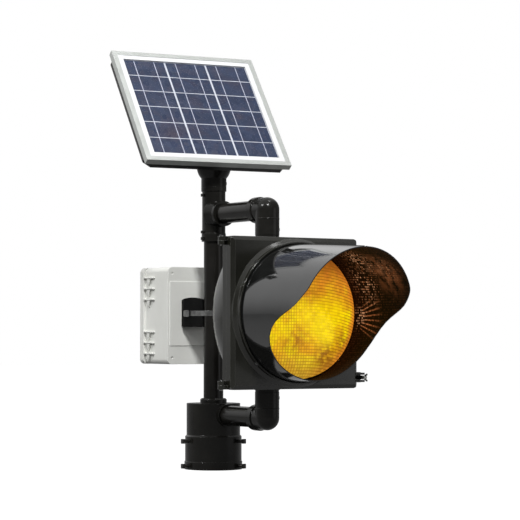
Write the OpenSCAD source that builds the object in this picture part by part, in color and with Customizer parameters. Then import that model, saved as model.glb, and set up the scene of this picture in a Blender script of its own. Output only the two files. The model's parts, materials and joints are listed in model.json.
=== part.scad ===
// Solar flashing beacon: a 12 inch signal head, a solar panel and a battery box round one pole tube.
// Origin: centre of the collar's foot, on the pole axis. +Z is up and the lamp faces -Y.
// Millimetres throughout.

/* [Pole tube and fittings] */
// Outside diameter of the pole tube and the arm tubes
tube_od = 48.3; // [47:0.1:50]
// Wall of the pole tube and the arm tubes
tube_wall = 3.7; // [2.5:0.1:5]
// Radial gap between a tube and the socket it slips into
slip_gap = 0.1; // [0.05:0.05:0.3]
// Wall of a fitting round its tube
fitting_wall = 4.3; // [3.5:0.1:6]
// How far a fitting's end band stands out from its wall
band_step = 2.4; // [1:0.2:4]
// Length of a fitting's end band
band_w = 10; // [6:1:14]
// Length of the tee along the pole
tee_h = 133; // [120:1:150]
// Distance from the pole axis to the tee's branch face
tee_reach = 50; // [44:1:58]
// Distance from the pole axis to the signal head's hub axis
arm_reach = 248; // [245:1:280]
// Distance from an elbow's corner to its socket face
elbow_reach = 49; // [44:1:56]
// Distance from the elbow's corner to the end of its leg over the hub ring
elbow_leg = 61; // [50:1:70]

/* [Collar] */
// Bore that slips over a street pole of 4.5 inches
socket_d = 117.5; // [114.5:0.5:119]
// Depth of that bore
socket_depth = 96; // [85:1:99]
// Diameter of the collar's upper tier
collar_upper_d = 131; // [129:1:134]
// Diameter of the collar's lower tier
collar_lower_d = 138; // [136:1:146]
// Height of the collar without its hub
collar_h = 160; // [156:1:175]
// Height of the lower tier
collar_tier_h = 80; // [76:1:90]
// Height of the rim round the foot
collar_rim_h = 19; // [14:1:24]
// How far that rim stands out
collar_rim_step = 1.6; // [1:0.2:3]
// Thickness of the collar's roof
collar_roof = 12; // [8:1:16]
// Height of the hub that grips the pole tube
collar_hub_h = 12; // [9:1:20]
// Diameter of that hub
collar_hub_d = 65; // [60:1:72]
// Height of the lower arm above the collar's foot
lower_arm_z = 132; // [129:1:136]
// Diameter of the boss that takes the lower arm
arm_boss_d = 56; // [54:1:60]
// Distance from the pole axis to that boss's face
arm_boss_reach = 74; // [70:1:82]

/* [Set screws] */
// Set screws round the collar in each row
collar_screw_count = 3; // [3:1:6]
// Thread diameter of the collar's set screws
collar_screw_d = 8; // [6:1:10]
// Height of the lower row
collar_screw_low_z = 9; // [8:1:11]
// Height of the upper row
collar_screw_high_z = 69; // [60:1:72]
// How far the collar's screws stand out
collar_screw_out = 13; // [6:1:18]
// Thread diameter of the fittings' set screws
fitting_screw_d = 5; // [4:0.5:6]
// How far the fittings' screws stand out
fitting_screw_out = 4; // [2:0.5:6]

/* [Signal head] */
// Width of the door
door_w = 344; // [340:1:356]
// Height of the door
door_h = 348; // [342:1:360]
// Depth of the door from its front to its parting face
door_depth = 26; // [22:1:30]
// Distance from the hub axis to the door's front
door_front = 126; // [122:1:134]
// Wall of the door and of the housing
shell_wall = 4; // [3:0.5:5]
// Radius of the door's corners
door_corner_r = 10; // [6:1:16]
// Width of the bevel round the door's front
door_bevel = 9; // [4:1:12]
// Wall of the door's raised ring, outside the visor
ring_wall = 3.7; // [2:0.1:6]
// Height of that ring
door_ring_h = 18; // [15:1:22]
// How far the ring's foot flares out
ring_flare = 7; // [3:1:8]
// Distance from the visor's outside to the edge of the lens that shows
lens_margin = 7; // [6:0.5:11]
// Rise of the lens, which is flat in front and steep at its edge
lens_rise = 48; // [40:1:52]
// Thickness of the lens
lens_wall = 3; // [2.5:0.5:4]
// Depth of the housing's square rim
rim_depth = 18; // [14:1:24]
// How much smaller the rim is than the door, each side
rim_inset = 2; // [1:0.5:4]
// Radius of the housing's round back
back_r = 165; // [162:1:167]
// Distance from the door's front to the axis of the round back
back_axis = 52; // [48:1:56]
// Radius of the curve from the back's middle to its top and bottom
back_arc_r = 265; // [255:1:300]
// Diameter of the serrated ring between an elbow and the housing
hub_ring_d = 60; // [56:1:64]
// Height of that ring
hub_ring_h = 12.5; // [9:0.5:15]

/* [Visor] */
// Length of the visor along its top
visor_len = 282; // [260:1:300]
// Lean of the visor's mouth, top forward
visor_rake = 14; // [0:1:20]
// Outside diameter at the visor's foot
visor_base_d = 318; // [314:1:320]
// Outside diameter at the visor's mouth
visor_tip_d = 287; // [270:1:316]
// Thickness of the visor's sheet
visor_wall = 2.5; // [2:0.5:4]
// Length of the full ring left at the visor's foot
visor_ring_len = 81; // [50:1:100]

/* [Door hardware] */
// Distance from the door's edge to the hinge axis
hinge_out = 12; // [10:0.5:14]
// Radius of the hinge knuckles
hinge_r = 8; // [7:0.5:9]
// Diameter of the hinge pins
hinge_pin_d = 6; // [5:0.5:8]
// Running gap round a hinge pin
hinge_gap = 0.08; // [0.05:0.01:0.1]
// Length of one hinge knuckle
knuckle_h = 9.5; // [8:0.5:14]
// Distance from the door's top and bottom edges to the hinge knuckles
knuckle_inset = 1; // [0:1:10]
// Thread diameter of the wing screws
wing_screw_d = 6; // [5:0.5:8]
// Distance from the door's edge to a wing screw
latch_out = 14; // [11:1:18]
// Distance from the door's top and bottom edges to a wing screw
latch_inset = 25; // [20:1:40]

/* [Solar panel] */
// Width of the panel
panel_w = 386; // [340:1:440]
// Length of the panel up its slope
panel_l = 364; // [320:1:420]
// Depth of the panel's frame
panel_d = 16; // [14:1:24]
// Slope of the panel from level
panel_tilt = 52; // [40:1:54]
// Turn of the panel about the pole, away from the lamp's direction
panel_turn = -5; // [-15:1:15]
// Clearance between the tray and the front of the post cap
panel_clear = 1; // [0.5:0.5:10]
// How far the panel's centre lies behind the pole axis
panel_back = 27; // [10:1:30]
// How far the panel's centre lies beside the pole axis
panel_side = -22; // [-25:1:25]
// Width of the frame's front lip
frame_lip = 13; // [10:1:16]
// Wall of the frame's section
frame_wall = 2; // [1.5:0.5:3]
// Columns of solar cells
cell_cols = 3; // [2:1:4]
// Rows of solar cells
cell_rows = 6; // [4:1:8]
// Gap between the cell columns
cell_col_gap = 5; // [4:1:14]
// Gap between the cell rows
cell_row_gap = 2.5; // [1.5:0.5:5]
// Margin between the cells and the frame's lip
cell_margin = 14; // [8:1:20]
// Depth of the tray behind the frame
tray_d = 15; // [8:1:18]
// How much smaller the tray is than the frame, each side
tray_inset = 3; // [2:1:12]
// Length of the post cap below its flare
cap_h = 22; // [18:1:30]
// Length of the cap's flare
cap_flare_h = 35.5; // [28:0.5:44]
// Diameter of the cap's seat
cap_seat_d = 84; // [80:1:90]

/* [Battery box] */
// Width of the box
box_w = 160; // [150:1:190]
// Height of the box
box_h = 240; // [225:1:270]
// Depth of the box with its cover
box_depth = 146; // [130:1:160]
// Distance from the pole axis to the box
box_front = 86; // [80:1:96]
// Height of the box's centre
box_z = 374; // [360:1:390]
// Wall of the box
box_wall = 4; // [3:0.5:5]
// Depth of the cover
cover_d = 24; // [18:1:30]
// Width of the flange round the mouth of the box
flange_w = 6; // [5:1:9]
// Pitch of the ribs under the flange
rib_pitch = 27; // [22:1:30]
// Length of the ribs under the flange
rib_len = 55; // [40:1:70]
// Thickness of the pressure gaskets
gasket_t = 3; // [2:0.5:4]

/* [Pole saddle] */
// Width of the saddle
saddle_w = 84; // [76:1:96]
// Height of the saddle's cheeks
saddle_h = 66; // [56:1:80]
// Height of the saddle's centre
saddle_z = 379; // [370:1:390]
// Width of the stainless band
strap_w = 12.7; // [10:0.1:19]
// Thickness of the band
strap_t = 0.8; // [0.5:0.1:1.2]

/* [Hidden] */
$fn = 64;
fine = 128;
eps = 0.01;
hole_gap = 0.3;
seat_gap = 0.3;
knuckle_gap = 0.3;

// Tubes and fittings
tube_id = tube_od - 2 * tube_wall;
socket_bore = tube_od + 2 * slip_gap;
fitting_d = socket_bore + 2 * fitting_wall;
band_d = fitting_d + 2 * band_step;
head_z = (lower_arm_z + upper_arm_z()) / 2;
tee_z = upper_arm_z();
tee_top = tee_z + tee_h / 2;
tee_bottom = tee_z - tee_h / 2;
tube_bottom = collar_h - collar_roof + 1;
cap_top = tee_top + cap_h + cap_flare_h;
cap_roof = 6;
tube_top = cap_top - cap_roof;
stub_gap = 1;

// The two arms lie the same distance above and below the head
function upper_arm_z() = lower_arm_z + 2 * elbow_leg + 2 * hub_ring_h + housing_h();
function housing_h() = door_h - 2 * rim_inset - 2;
housing_w = door_w - 2 * rim_inset;
housing_top = head_z + housing_h() / 2;
housing_bottom = head_z - housing_h() / 2;

// Signal head, measured along Y from the pole axis
front_y = -(arm_reach + door_front);
parting_y = front_y + door_depth;
rim_back_y = parting_y + rim_depth;
back_axis_y = front_y + back_axis;
door_skin = shell_wall + 2;
lens_lip = 3;
lens_view_d = visor_base_d - 2 * lens_margin;
lens_flange_d = lens_view_d + 14;
lens_base_y = front_y + lens_lip + lens_wall;
reflector_rim_t = 2;
clip_y = lens_base_y + gasket_t + reflector_rim_t;
clip_screw_d = 4;
seat_wall = 11;
door_ring_d = visor_base_d + 2 * (hole_gap + ring_wall);
visor_screw_head = 8;
ring_straight = visor_screw_head + 2;
visor_screw_len = (door_ring_d - visor_base_d) / 2 + visor_wall + 4;
parting_gap = 0.3;
latch_face_y = front_y + 4;
hinge_x = -(door_w / 2 + hinge_out);
latch_x = door_w / 2 + latch_out;

// Solar panel
tray_drop = panel_d + tray_d;
panel_z = cap_top + (panel_clear + tray_drop) / cos(panel_tilt)
    + (panel_back + cap_seat_d / 2) * tan(panel_tilt);
cell_field_w = panel_w - 2 * frame_lip - 2 * cell_margin;
cell_field_l = panel_l - 2 * frame_lip - 2 * cell_margin;
cell_w = (cell_field_w - (cell_cols - 1) * cell_col_gap) / cell_cols;
cell_l = (cell_field_l - (cell_rows - 1) * cell_row_gap) / cell_rows;
lip_t = 1;
glass_t = 3.2;
cell_t = 0.4;
sheet_t = 0.8;
laminate_t = glass_t + cell_t + sheet_t;

// Battery box
box_rear = box_front + box_depth;
mouth_y = box_rear - cover_d;

module round_rect(w, h, r) {
    union() {
        square([w - 2 * r, h], center = true);
        square([w, h - 2 * r], center = true);
        for (x = [-1, 1], y = [-1, 1])
            translate([x * (w / 2 - r), y * (h / 2 - r)])
                circle(r);
    }
}

// A plate in the XZ plane that runs from y0 to y1
module wall_plate(w, h, r, y0, y1) {
    translate([0, y1, 0])
        rotate([90, 0, 0])
            linear_extrude(y1 - y0)
                round_rect(w, h, r);
}

// A round bar along Y from y0 to y1
module bar_y(d, y0, y1, d2 = 0) {
    translate([0, y0, 0])
        rotate([-90, 0, 0])
            cylinder(h = y1 - y0, d1 = d, d2 = d2 == 0 ? d : d2);
}

module hex_bolt(d, len, head_w, head_h) {
    translate([0, 0, -len])
        cylinder(h = len, d = d);
    cylinder(h = head_h, d = head_w / cos(30), $fn = 6);
}

// A set screw on a radius: its tip ends inside the wall and its square head stands out
module radial_screw(d, r_tip, r_head) {
    head = 0.75 * d;
    rotate([0, 90, 0]) {
        translate([0, 0, r_tip])
            cylinder(h = r_head - r_tip, d = d);
        translate([-0.7 * d, -0.7 * d, r_head - head])
            cube([1.4 * d, 1.4 * d, head]);
    }
}

module radial_hole(d, r0, r1) {
    rotate([0, 90, 0])
        translate([0, 0, r0])
            cylinder(h = r1 - r0, d = d);
}

// Pole collar and tube
module place_collar_screws(z) {
    for (i = [0:collar_screw_count - 1])
        translate([0, 0, z])
            rotate([0, 0, 180 + i * 360 / collar_screw_count])
                children();
}

module pole_collar() {
    color("#2b2a28")
    difference() {
        union() {
            cylinder(h = collar_tier_h, d = collar_lower_d, $fn = fine);
            cylinder(h = collar_rim_h, d = collar_lower_d + 2 * collar_rim_step, $fn = fine);
            cylinder(h = collar_h, d = collar_upper_d, $fn = fine);
            translate([0, 0, collar_tier_h])
                cylinder(h = 3, d1 = collar_lower_d - 1, d2 = collar_upper_d, $fn = fine);
            translate([0, 0, collar_h]) {
                cylinder(h = collar_hub_h - 3, d = collar_hub_d);
                translate([0, 0, collar_hub_h - 3])
                    cylinder(h = 3, d1 = collar_hub_d, d2 = collar_hub_d - 6);
            }
            translate([0, 0, lower_arm_z])
                bar_y(arm_boss_d, -arm_boss_reach, -socket_d / 2 + 8);
        }
        translate([0, 0, -eps])
            cylinder(h = socket_depth + eps, d = socket_d, $fn = fine);
        translate([0, 0, socket_depth - eps])
            cylinder(h = collar_h - collar_roof - socket_depth + eps, d = socket_d - 14, $fn = fine);
        cylinder(h = collar_h + collar_hub_h + 1, d = socket_bore);
        translate([0, 0, lower_arm_z])
            bar_y(socket_bore, -arm_boss_reach - 1, -socket_d / 2 + 10);
        for (z = [collar_screw_low_z, collar_screw_high_z])
            place_collar_screws(z)
                radial_hole(collar_screw_d + 2 * slip_gap, socket_d / 2 - 4, collar_lower_d / 2 + 6);
    }
}

module collar_screw_row(z) {
    color("#35332f")
    place_collar_screws(z)
        radial_screw(collar_screw_d, socket_d / 2 + 1, collar_lower_d / 2 + collar_screw_out + 6);
}

module collar_screws_upper() { collar_screw_row(collar_screw_high_z); }

module collar_screws_lower() { collar_screw_row(collar_screw_low_z); }

module pole_tube() {
    color("#2d2b29")
    difference() {
        translate([0, 0, tube_bottom])
            cylinder(h = tube_top - tube_bottom, d = tube_od);
        translate([0, 0, tube_bottom - 1])
            cylinder(h = tube_top - tube_bottom + 2, d = tube_id);
    }
}

// Tee, post cap and arms
tee_screw_z = [tee_bottom + 7, tee_bottom + 23, tee_top - 20];

module pole_tee() {
    color("#2d2b29")
    difference() {
        union() {
            translate([0, 0, tee_bottom])
                cylinder(h = tee_h, d = fitting_d);
            translate([0, 0, tee_bottom])
                cylinder(h = 2 * band_w, d = fitting_d + band_step);
            translate([0, 0, tee_top - band_w])
                cylinder(h = band_w, d = band_d);
            translate([0, 0, tee_z]) {
                bar_y(fitting_d, -tee_reach, 0);
                bar_y(band_d, -tee_reach, -tee_reach + band_w);
                bar_y(fitting_d, -tee_reach + band_w, -12, fitting_d * 1.28);
            }
        }
        translate([0, 0, tee_bottom - 1])
            cylinder(h = tee_h + 2, d = socket_bore);
        translate([0, 0, tee_z])
            bar_y(socket_bore, -tee_reach - 1, 0);
        for (z = tee_screw_z)
            translate([0, 0, z])
                rotate([0, 0, 180])
                    radial_hole(fitting_screw_d + 2 * slip_gap, tube_od / 2 - 2, band_d);
    }
}

module fitting_screw() {
    radial_screw(fitting_screw_d, tube_od / 2, fitting_d / 2 + band_step + fitting_screw_out);
}

module tee_screws() {
    color("#383632")
    for (z = tee_screw_z)
        translate([0, 0, z])
            rotate([0, 0, 180])
                fitting_screw();
}

cap_screw_z = tee_top + cap_h / 2;

module post_cap() {
    color("#2b2a28")
    difference() {
        union() {
            translate([0, 0, tee_top])
                cylinder(h = cap_h, d = band_d);
            translate([0, 0, tee_top + cap_h])
                rotate_extrude()
                    cup_profile(band_d / 2, cap_seat_d / 2, cap_flare_h);
        }
        translate([0, 0, tee_top - 1])
            cylinder(h = tube_top - tee_top + 1, d = socket_bore);
        translate([0, 0, tee_top])
            cylinder(h = cap_top - tee_top + 1, d = tube_id - 6);
        for (x = [-1, 1], y = [-1, 1])
            translate([x, y, 0] * cap_bolt_pitch / 2 + [0, 0, cap_top - 16])
                cylinder(h = 17, d = 5);
        translate([0, 0, cap_screw_z])
            radial_hole(fitting_screw_d + 2 * slip_gap, tube_od / 2 - 2, band_d);
    }
}

// A cup that swells out along an arc to an upright rim
module cup_profile(r0, r1, h) {
    rim = 6;
    arc = bend_radius(r1 - r0, h - rim);
    intersection() {
        square([r1, h]);
        union() {
            translate([r1 - arc, h - rim])
                circle(arc, $fn = 2 * fine);
            translate([0, h - rim])
                square([r1, rim]);
        }
    }
}

// Radius of the arc that leaves an upright wall and moves out by one distance while it rises another
function bend_radius(out, up) = (out * out + up * up) / (2 * out);

cap_bolt_pitch = 44;

module post_cap_screws() {
    color("#383632")
    translate([0, 0, cap_screw_z])
        fitting_screw();
}

module arm_tube(y_in, y_out) {
    difference() {
        bar_y(tube_od, y_out, y_in);
        bar_y(tube_id, y_out - 1, y_in + 1);
    }
}

elbow_face_y = -(arm_reach - elbow_reach);
arm_grip = 20;

module upper_arm_tube() {
    color("#2d2b29")
    translate([0, 0, tee_z])
        arm_tube(-tube_od / 2 - stub_gap, elbow_face_y - arm_grip);
}

module lower_arm_tube() {
    color("#2d2b29")
    translate([0, 0, lower_arm_z])
        arm_tube(-socket_d / 2, elbow_face_y - arm_grip);
}

// An elbow with its socket towards the pole and its leg pointing down from the corner
module elbow() {
    difference() {
        union() {
            bar_y(fitting_d, 0, elbow_reach);
            bar_y(band_d, elbow_reach - 2 * band_w, elbow_reach);
            sphere(d = fitting_d);
            translate([0, 0, -elbow_leg])
                cylinder(h = elbow_leg, d = fitting_d);
            translate([0, 0, -elbow_leg * 0.38])
                cylinder(h = 2, d = fitting_d + 1.2);
        }
        bar_y(socket_bore, elbow_reach - arm_grip - 1, elbow_reach + 1);
        bar_y(tube_id, 0, elbow_reach);
        sphere(d = tube_id);
        translate([0, 0, -elbow_leg - 1])
            cylinder(h = elbow_leg + 1, d = tube_id);
        translate([0, 0, -elbow_leg - 1])
            cylinder(h = nipple_grip + 2, d = socket_bore);
        translate([0, 0, -elbow_leg + elbow_screw_up])
            radial_hole(fitting_screw_d + 2 * slip_gap, tube_id / 2 - 2, band_d);
    }
}

nipple_grip = 24;
elbow_screw_up = 14;

module upper_elbow() {
    color("#2d2b29")
    translate([0, -arm_reach, tee_z])
        elbow();
}

module lower_elbow() {
    color("#2d2b29")
    translate([0, -arm_reach, lower_arm_z])
        mirror([0, 0, 1])
            elbow();
}

module elbow_screws() {
    color("#383632")
    for (z = [tee_z - elbow_leg + elbow_screw_up, lower_arm_z + elbow_leg - elbow_screw_up])
        translate([0, -arm_reach, z])
            radial_screw(fitting_screw_d, tube_od / 2, fitting_d / 2 + fitting_screw_out);
}

// Hardware at the two hubs of the signal head: drawn for the top and mirrored for the bottom
module at_hubs() {
    translate([0, -arm_reach, head_z])
        for (s = [0, 1])
            mirror([0, 0, s])
                translate([0, 0, housing_h() / 2])
                    children();
}

module hub_rings() {
    teeth = 36;
    color("#33312e")
    at_hubs()
        difference() {
            union() {
                cylinder(h = hub_ring_h, d = hub_ring_d - 4);
                cylinder(h = hub_ring_h - 5, d = hub_ring_d);
                for (i = [0:teeth - 1])
                    rotate([0, 0, i * 360 / teeth])
                        translate([hub_ring_d / 2 - 3, -0.9, 0])
                            cube([3.6, 1.8, hub_ring_h - 6]);
            }
            translate([0, 0, -1])
                cylinder(h = hub_ring_h + 2, d = socket_bore);
        }
}

locknut_h = 8;
hub_pad = 6;

module hub_nipples() {
    color("#3a3835")
    at_hubs()
        difference() {
            translate([0, 0, -hub_pad - locknut_h - 3])
                cylinder(h = hub_ring_h + nipple_grip + hub_pad + locknut_h + 3, d = tube_od);
            translate([0, 0, -hub_pad - locknut_h - 4])
                cylinder(h = hub_ring_h + nipple_grip + hub_pad + locknut_h + 5, d = tube_id);
        }
}

module hub_locknuts() {
    color("#8d8c88")
    at_hubs()
        difference() {
            translate([0, 0, -hub_pad - locknut_h])
                cylinder(h = locknut_h, d = tube_od + 14);
            translate([0, 0, -hub_pad - locknut_h - 1])
                cylinder(h = locknut_h + 2, d = socket_bore);
            for (i = [0:7])
                rotate([0, 0, i * 45])
                    translate([tube_od / 2 + 4.5, -3, -hub_pad - locknut_h - 1])
                        cube([6, 6, locknut_h + 2]);
        }
}

// Signal head
// A barrel with an upright axis whose side is an arc
module barrel(r, arc, half) {
    rotate_extrude($fn = fine)
        intersection() {
            translate([r - arc, 0])
                circle(arc, $fn = fine);
            translate([0, -half])
                square([r, 2 * half]);
        }
}

// The round back as a solid, shrunk by a wall all round
module round_back(shrink) {
    intersection() {
        translate([0, back_axis_y, 0])
            barrel(back_r - shrink, back_arc_r - shrink, housing_h() / 2 - shrink);
        translate([-back_r, parting_y + 1, -housing_h() / 2])
            cube([2 * back_r, back_r + back_axis, housing_h()]);
    }
}

module lamp_housing() {
    half = housing_h() / 2;
    color("#2c2c29")
    difference() {
        translate([0, 0, head_z]) {
            difference() {
                union() {
                    wall_plate(housing_w, housing_h(), door_corner_r, parting_y, rim_back_y);
                    round_back(0);
                    for (s = [0, 1])
                        mirror([0, 0, s])
                            translate([0, -arm_reach, half - 44])
                                cylinder(h = 44, d = hub_ring_d + 12);
                    housing_lugs();
                }
                wall_plate(housing_w - 2 * shell_wall, housing_h() - 2 * shell_wall,
                    door_corner_r - shell_wall, parting_y - 1, rim_back_y - shell_wall);
                round_back(shell_wall);
                translate([0, 0, -half + hub_pad])
                    intersection() {
                        translate([0, -arm_reach, 0])
                            cylinder(h = 2 * half - 2 * hub_pad, d = tube_od + 18);
                        translate([-back_r, parting_y, 0])
                            cube([2 * back_r, arm_reach + 60, 2 * half]);
                    }
                translate([0, -arm_reach, -half - 1])
                    cylinder(h = 2 * half + 2, d = socket_bore);
                housing_lug_holes();
            }
            terminal_posts();
        }
        translate([0, 0, head_z])
            terminal_post_holes();
    }
}

terminal_z = -70;
terminal_pitch = 70;
terminal_y = back_axis_y + back_r - 44;

module terminal_posts() {
    difference() {
        for (x = [-1, 1])
            translate([x * terminal_pitch / 2, 0, terminal_z])
                bar_y(10, terminal_y, back_axis_y + back_r - 12);
    }
}

module terminal_post_holes() {
    for (x = [-1, 1])
        translate([x * terminal_pitch / 2, 0, terminal_z])
            bar_y(4, terminal_y - 1, terminal_y + 12);
}

// The hinge knuckles, counted from the parting face: the door's outer one, the housing's inner one
knuckle_top = door_h / 2 - knuckle_inset;

module knuckle(z, behind) {
    translate([hinge_x, parting_y, z])
        cylinder(h = knuckle_h, r = hinge_r);
    translate([hinge_x, behind ? parting_y : parting_y - hinge_r, z])
        cube([hinge_out + 4, hinge_r, knuckle_h]);
}

module housing_lugs() {
    for (s = [0, 1])
        mirror([0, 0, s]) {
            knuckle(knuckle_top - 2 * knuckle_h - knuckle_gap, true);
            latch_lug();
        }
}

latch_z = door_h / 2 - latch_inset;
latch_lug_t = 10;
latch_ear_t = 5;
latch_gap = 12;

module latch_lug() {
    translate([housing_w / 2 - shell_wall, parting_y, latch_z - latch_gap])
        cube([latch_x + 7 - housing_w / 2 + shell_wall, latch_lug_t, 2 * latch_gap]);
}

module housing_lug_holes() {
    for (s = [0, 1])
        mirror([0, 0, s]) {
            translate([hinge_x, parting_y, knuckle_top - 2 * knuckle_h - knuckle_gap - 1])
                cylinder(h = knuckle_h + 2, d = hinge_pin_d + 2 * hinge_gap);
            translate([latch_x, 0, latch_z])
                bar_y(wing_screw_d + 1, parting_y, parting_y + latch_lug_t + 2);
        }
}

// A plate whose four front edges are bevelled
module bevelled_plate(w, h, depth, bevel) {
    slope = bevel * 0.8;
    intersection() {
        rotate([0, 0, 0])
            translate([0, 0, -h])
                linear_extrude(2 * h)
                    polygon([[-w / 2, parting_y], [-w / 2, front_y + slope], [-w / 2 + bevel, front_y],
                        [w / 2 - bevel, front_y], [w / 2, front_y + slope], [w / 2, parting_y]]);
        translate([-w, 0, 0])
            rotate([90, 0, 90])
                linear_extrude(2 * w)
                    polygon([[parting_y, -h / 2], [front_y + slope, -h / 2], [front_y, -h / 2 + bevel],
                        [front_y, h / 2 - bevel], [front_y + slope, h / 2], [parting_y, h / 2]]);
        wall_plate(w, h, door_corner_r, front_y - 1, front_y + depth);
    }
}

module door_frame() {
    color("#2e2d2a")
    translate([0, 0, head_z])
        difference() {
            union() {
                difference() {
                    bevelled_plate(door_w, door_h, door_depth - parting_gap, door_bevel);
                    wall_plate(door_w - 2 * shell_wall, door_h - 2 * shell_wall,
                        door_corner_r - shell_wall, front_y + door_skin, parting_y + 1);
                }
                bar_y(door_ring_d, front_y - door_ring_h, front_y + 1);
                bar_y(door_ring_d, front_y - door_ring_h + ring_straight, front_y,
                    door_ring_d + 2 * ring_flare);
                bar_y(door_ring_d + 2 * ring_flare, front_y, front_y + door_skin);
                bar_y(lens_flange_d + 2 * seat_wall, front_y + door_skin - 1, clip_y);
                door_lugs();
            }
            bar_y(visor_base_d + 2 * hole_gap, front_y - door_ring_h - 1, front_y);
            bar_y(lens_view_d, front_y - 3, parting_y);
            bar_y(lens_flange_d + 1, front_y + lens_lip, parting_y);
            visor_screw_places()
                cylinder(h = visor_screw_len + 2, d = 3.2);
            clip_screw_places()
                bar_y(clip_screw_d, clip_y - 8, clip_y + 1);
            door_lug_holes();
        }
}

module door_lugs() {
    for (s = [0, 1])
        mirror([0, 0, s]) {
            knuckle(knuckle_top - knuckle_h, false);
            for (z = [-1, 1])
                translate([door_w / 2 - shell_wall, latch_face_y, latch_z + z * latch_gap / 2])
                    mirror([0, 0, z < 0 ? 1 : 0])
                        cube([latch_out + shell_wall + 7, parting_y - parting_gap - latch_face_y,
                            latch_ear_t]);
            translate([door_w / 2 - shell_wall, parting_y - parting_gap - latch_ear_t, latch_z - latch_gap])
                cube([latch_out + shell_wall + 7, latch_ear_t, 2 * latch_gap]);
        }
}

module door_lug_holes() {
    for (s = [0, 1])
        mirror([0, 0, s]) {
            translate([hinge_x, parting_y, knuckle_top - knuckle_h - 1])
                cylinder(h = knuckle_h + 2, d = hinge_pin_d + 2 * hinge_gap);
            translate([latch_x, 0, latch_z])
                bar_y(wing_screw_d + 2 * slip_gap, parting_y - 20, parting_y + 1);
        }
}

module door_gasket() {
    w = door_w - 2 * shell_wall;
    h = door_h - 2 * shell_wall;
    back = parting_y - parting_gap;
    color("#1f1f1f")
    translate([0, 0, head_z])
        difference() {
            wall_plate(w, h, door_corner_r - shell_wall, back - gasket_t, back);
            wall_plate(w - 9, h - 9, 3, back - gasket_t - 1, back + 1);
        }
}

module hinge_pins() {
    color("#9a9a96")
    translate([0, 0, head_z])
        for (s = [0, 1])
            mirror([0, 0, s])
                translate([hinge_x, parting_y, 0]) {
                    translate([0, 0, knuckle_top - 2 * knuckle_h - knuckle_gap - 2])
                        cylinder(h = 2 * knuckle_h + knuckle_gap + seat_gap + 3, d = hinge_pin_d);
                    translate([0, 0, knuckle_top + seat_gap])
                        cylinder(h = 2, d = hinge_pin_d + 3);
                }
}

// Captive screws, backed out so that their tips are just clear of the housing's lugs
module wing_screws() {
    nose = latch_face_y - 8;
    color("#a7a8a4")
    translate([0, 0, head_z])
        for (s = [0, 1])
            mirror([0, 0, s])
                translate([latch_x, 0, latch_z]) {
                    bar_y(wing_screw_d, nose, parting_y - parting_gap);
                    bar_y(wing_screw_d + 3, nose + 2, parting_y - parting_gap - latch_ear_t);
                    bar_y(wing_screw_d + 2, nose - 6, nose, wing_screw_d + 4);
                    for (m = [0, 1])
                        mirror([0, 0, m])
                            translate([-1.25, nose, 0])
                                rotate([90, 0, 90])
                                    linear_extrude(2.5)
                                        wing_outline();
                }
}

// One wing of a wing screw, seen from the side: it leans forward from the hub
module wing_outline() {
    polygon([[0, 1], [-6, 1], [-12, 6], [-10, 9], [-5, 6.5], [0, 4]]);
    translate([-11, 7.5])
        circle(1.8);
}

// Lens, lamp and reflector
dome_steps = 20;

// Side view of the lens's front, from its middle to its rim: flat in front and steep at the edge
function dome_line(r, rise) = [for (i = [0:dome_steps])
    let (a = 90 * pow(i / dome_steps, 1.4)) [r * sqrt(sin(a)), rise * pow(cos(a), 2 / 3)]];

function flip(list) = [for (i = [len(list) - 1:-1:0]) list[i]];

// A round shell that stands on z = 0
module dome(d, rise, wall) {
    rotate_extrude($fn = fine)
        polygon(concat(dome_line(d / 2, rise), flip(dome_line(d / 2 - wall, rise - wall))));
}

module lens() {
    color("#f0a010", 0.85)
    translate([0, lens_base_y, head_z])
        rotate([90, 0, 0]) {
            difference() {
                cylinder(h = lens_wall, d = lens_flange_d - 2, $fn = fine);
                translate([0, 0, -1])
                    cylinder(h = lens_wall + 2, d = lens_view_d - 2 * lens_wall - 2, $fn = fine);
            }
            translate([0, 0, lens_wall - eps])
                dome(lens_view_d - 2, lens_rise, lens_wall);
        }
}

module lens_gasket() {
    color("#222222")
    translate([0, 0, head_z])
        difference() {
            bar_y(lens_flange_d, lens_base_y, lens_base_y + gasket_t);
            bar_y(lens_view_d - 6, lens_base_y - 1, lens_base_y + gasket_t + 1);
        }
}

module clip_screw_places() {
    for (a = [45:90:315])
        rotate([0, a, 0])
            translate([0, 0, lens_flange_d / 2 + seat_wall / 2])
                children();
}

module lens_clips() {
    color("#a9a9a5")
    translate([0, 0, head_z])
        clip_screw_places()
            difference() {
                translate([-6, clip_y, -seat_wall / 2 - 9])
                    cube([12, 2, seat_wall + 9]);
                bar_y(clip_screw_d + 0.4, clip_y - 1, clip_y + 3);
            }
}

module clip_screws() {
    color("#b7b8b5")
    translate([0, 0, head_z])
        clip_screw_places() {
            bar_y(clip_screw_d, clip_y - 8, clip_y + 3);
            bar_y(7, clip_y + 2, clip_y + 5);
        }
}

reflector_d = 270;
reflector_depth = 96;
reflector_wall = 1.5;
reflector_steps = 12;

// Radius of the reflector's bowl at a height above its apex
function bowl_r(h) = 22 + (reflector_d / 2 - 22) * sqrt(h / reflector_depth);

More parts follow.
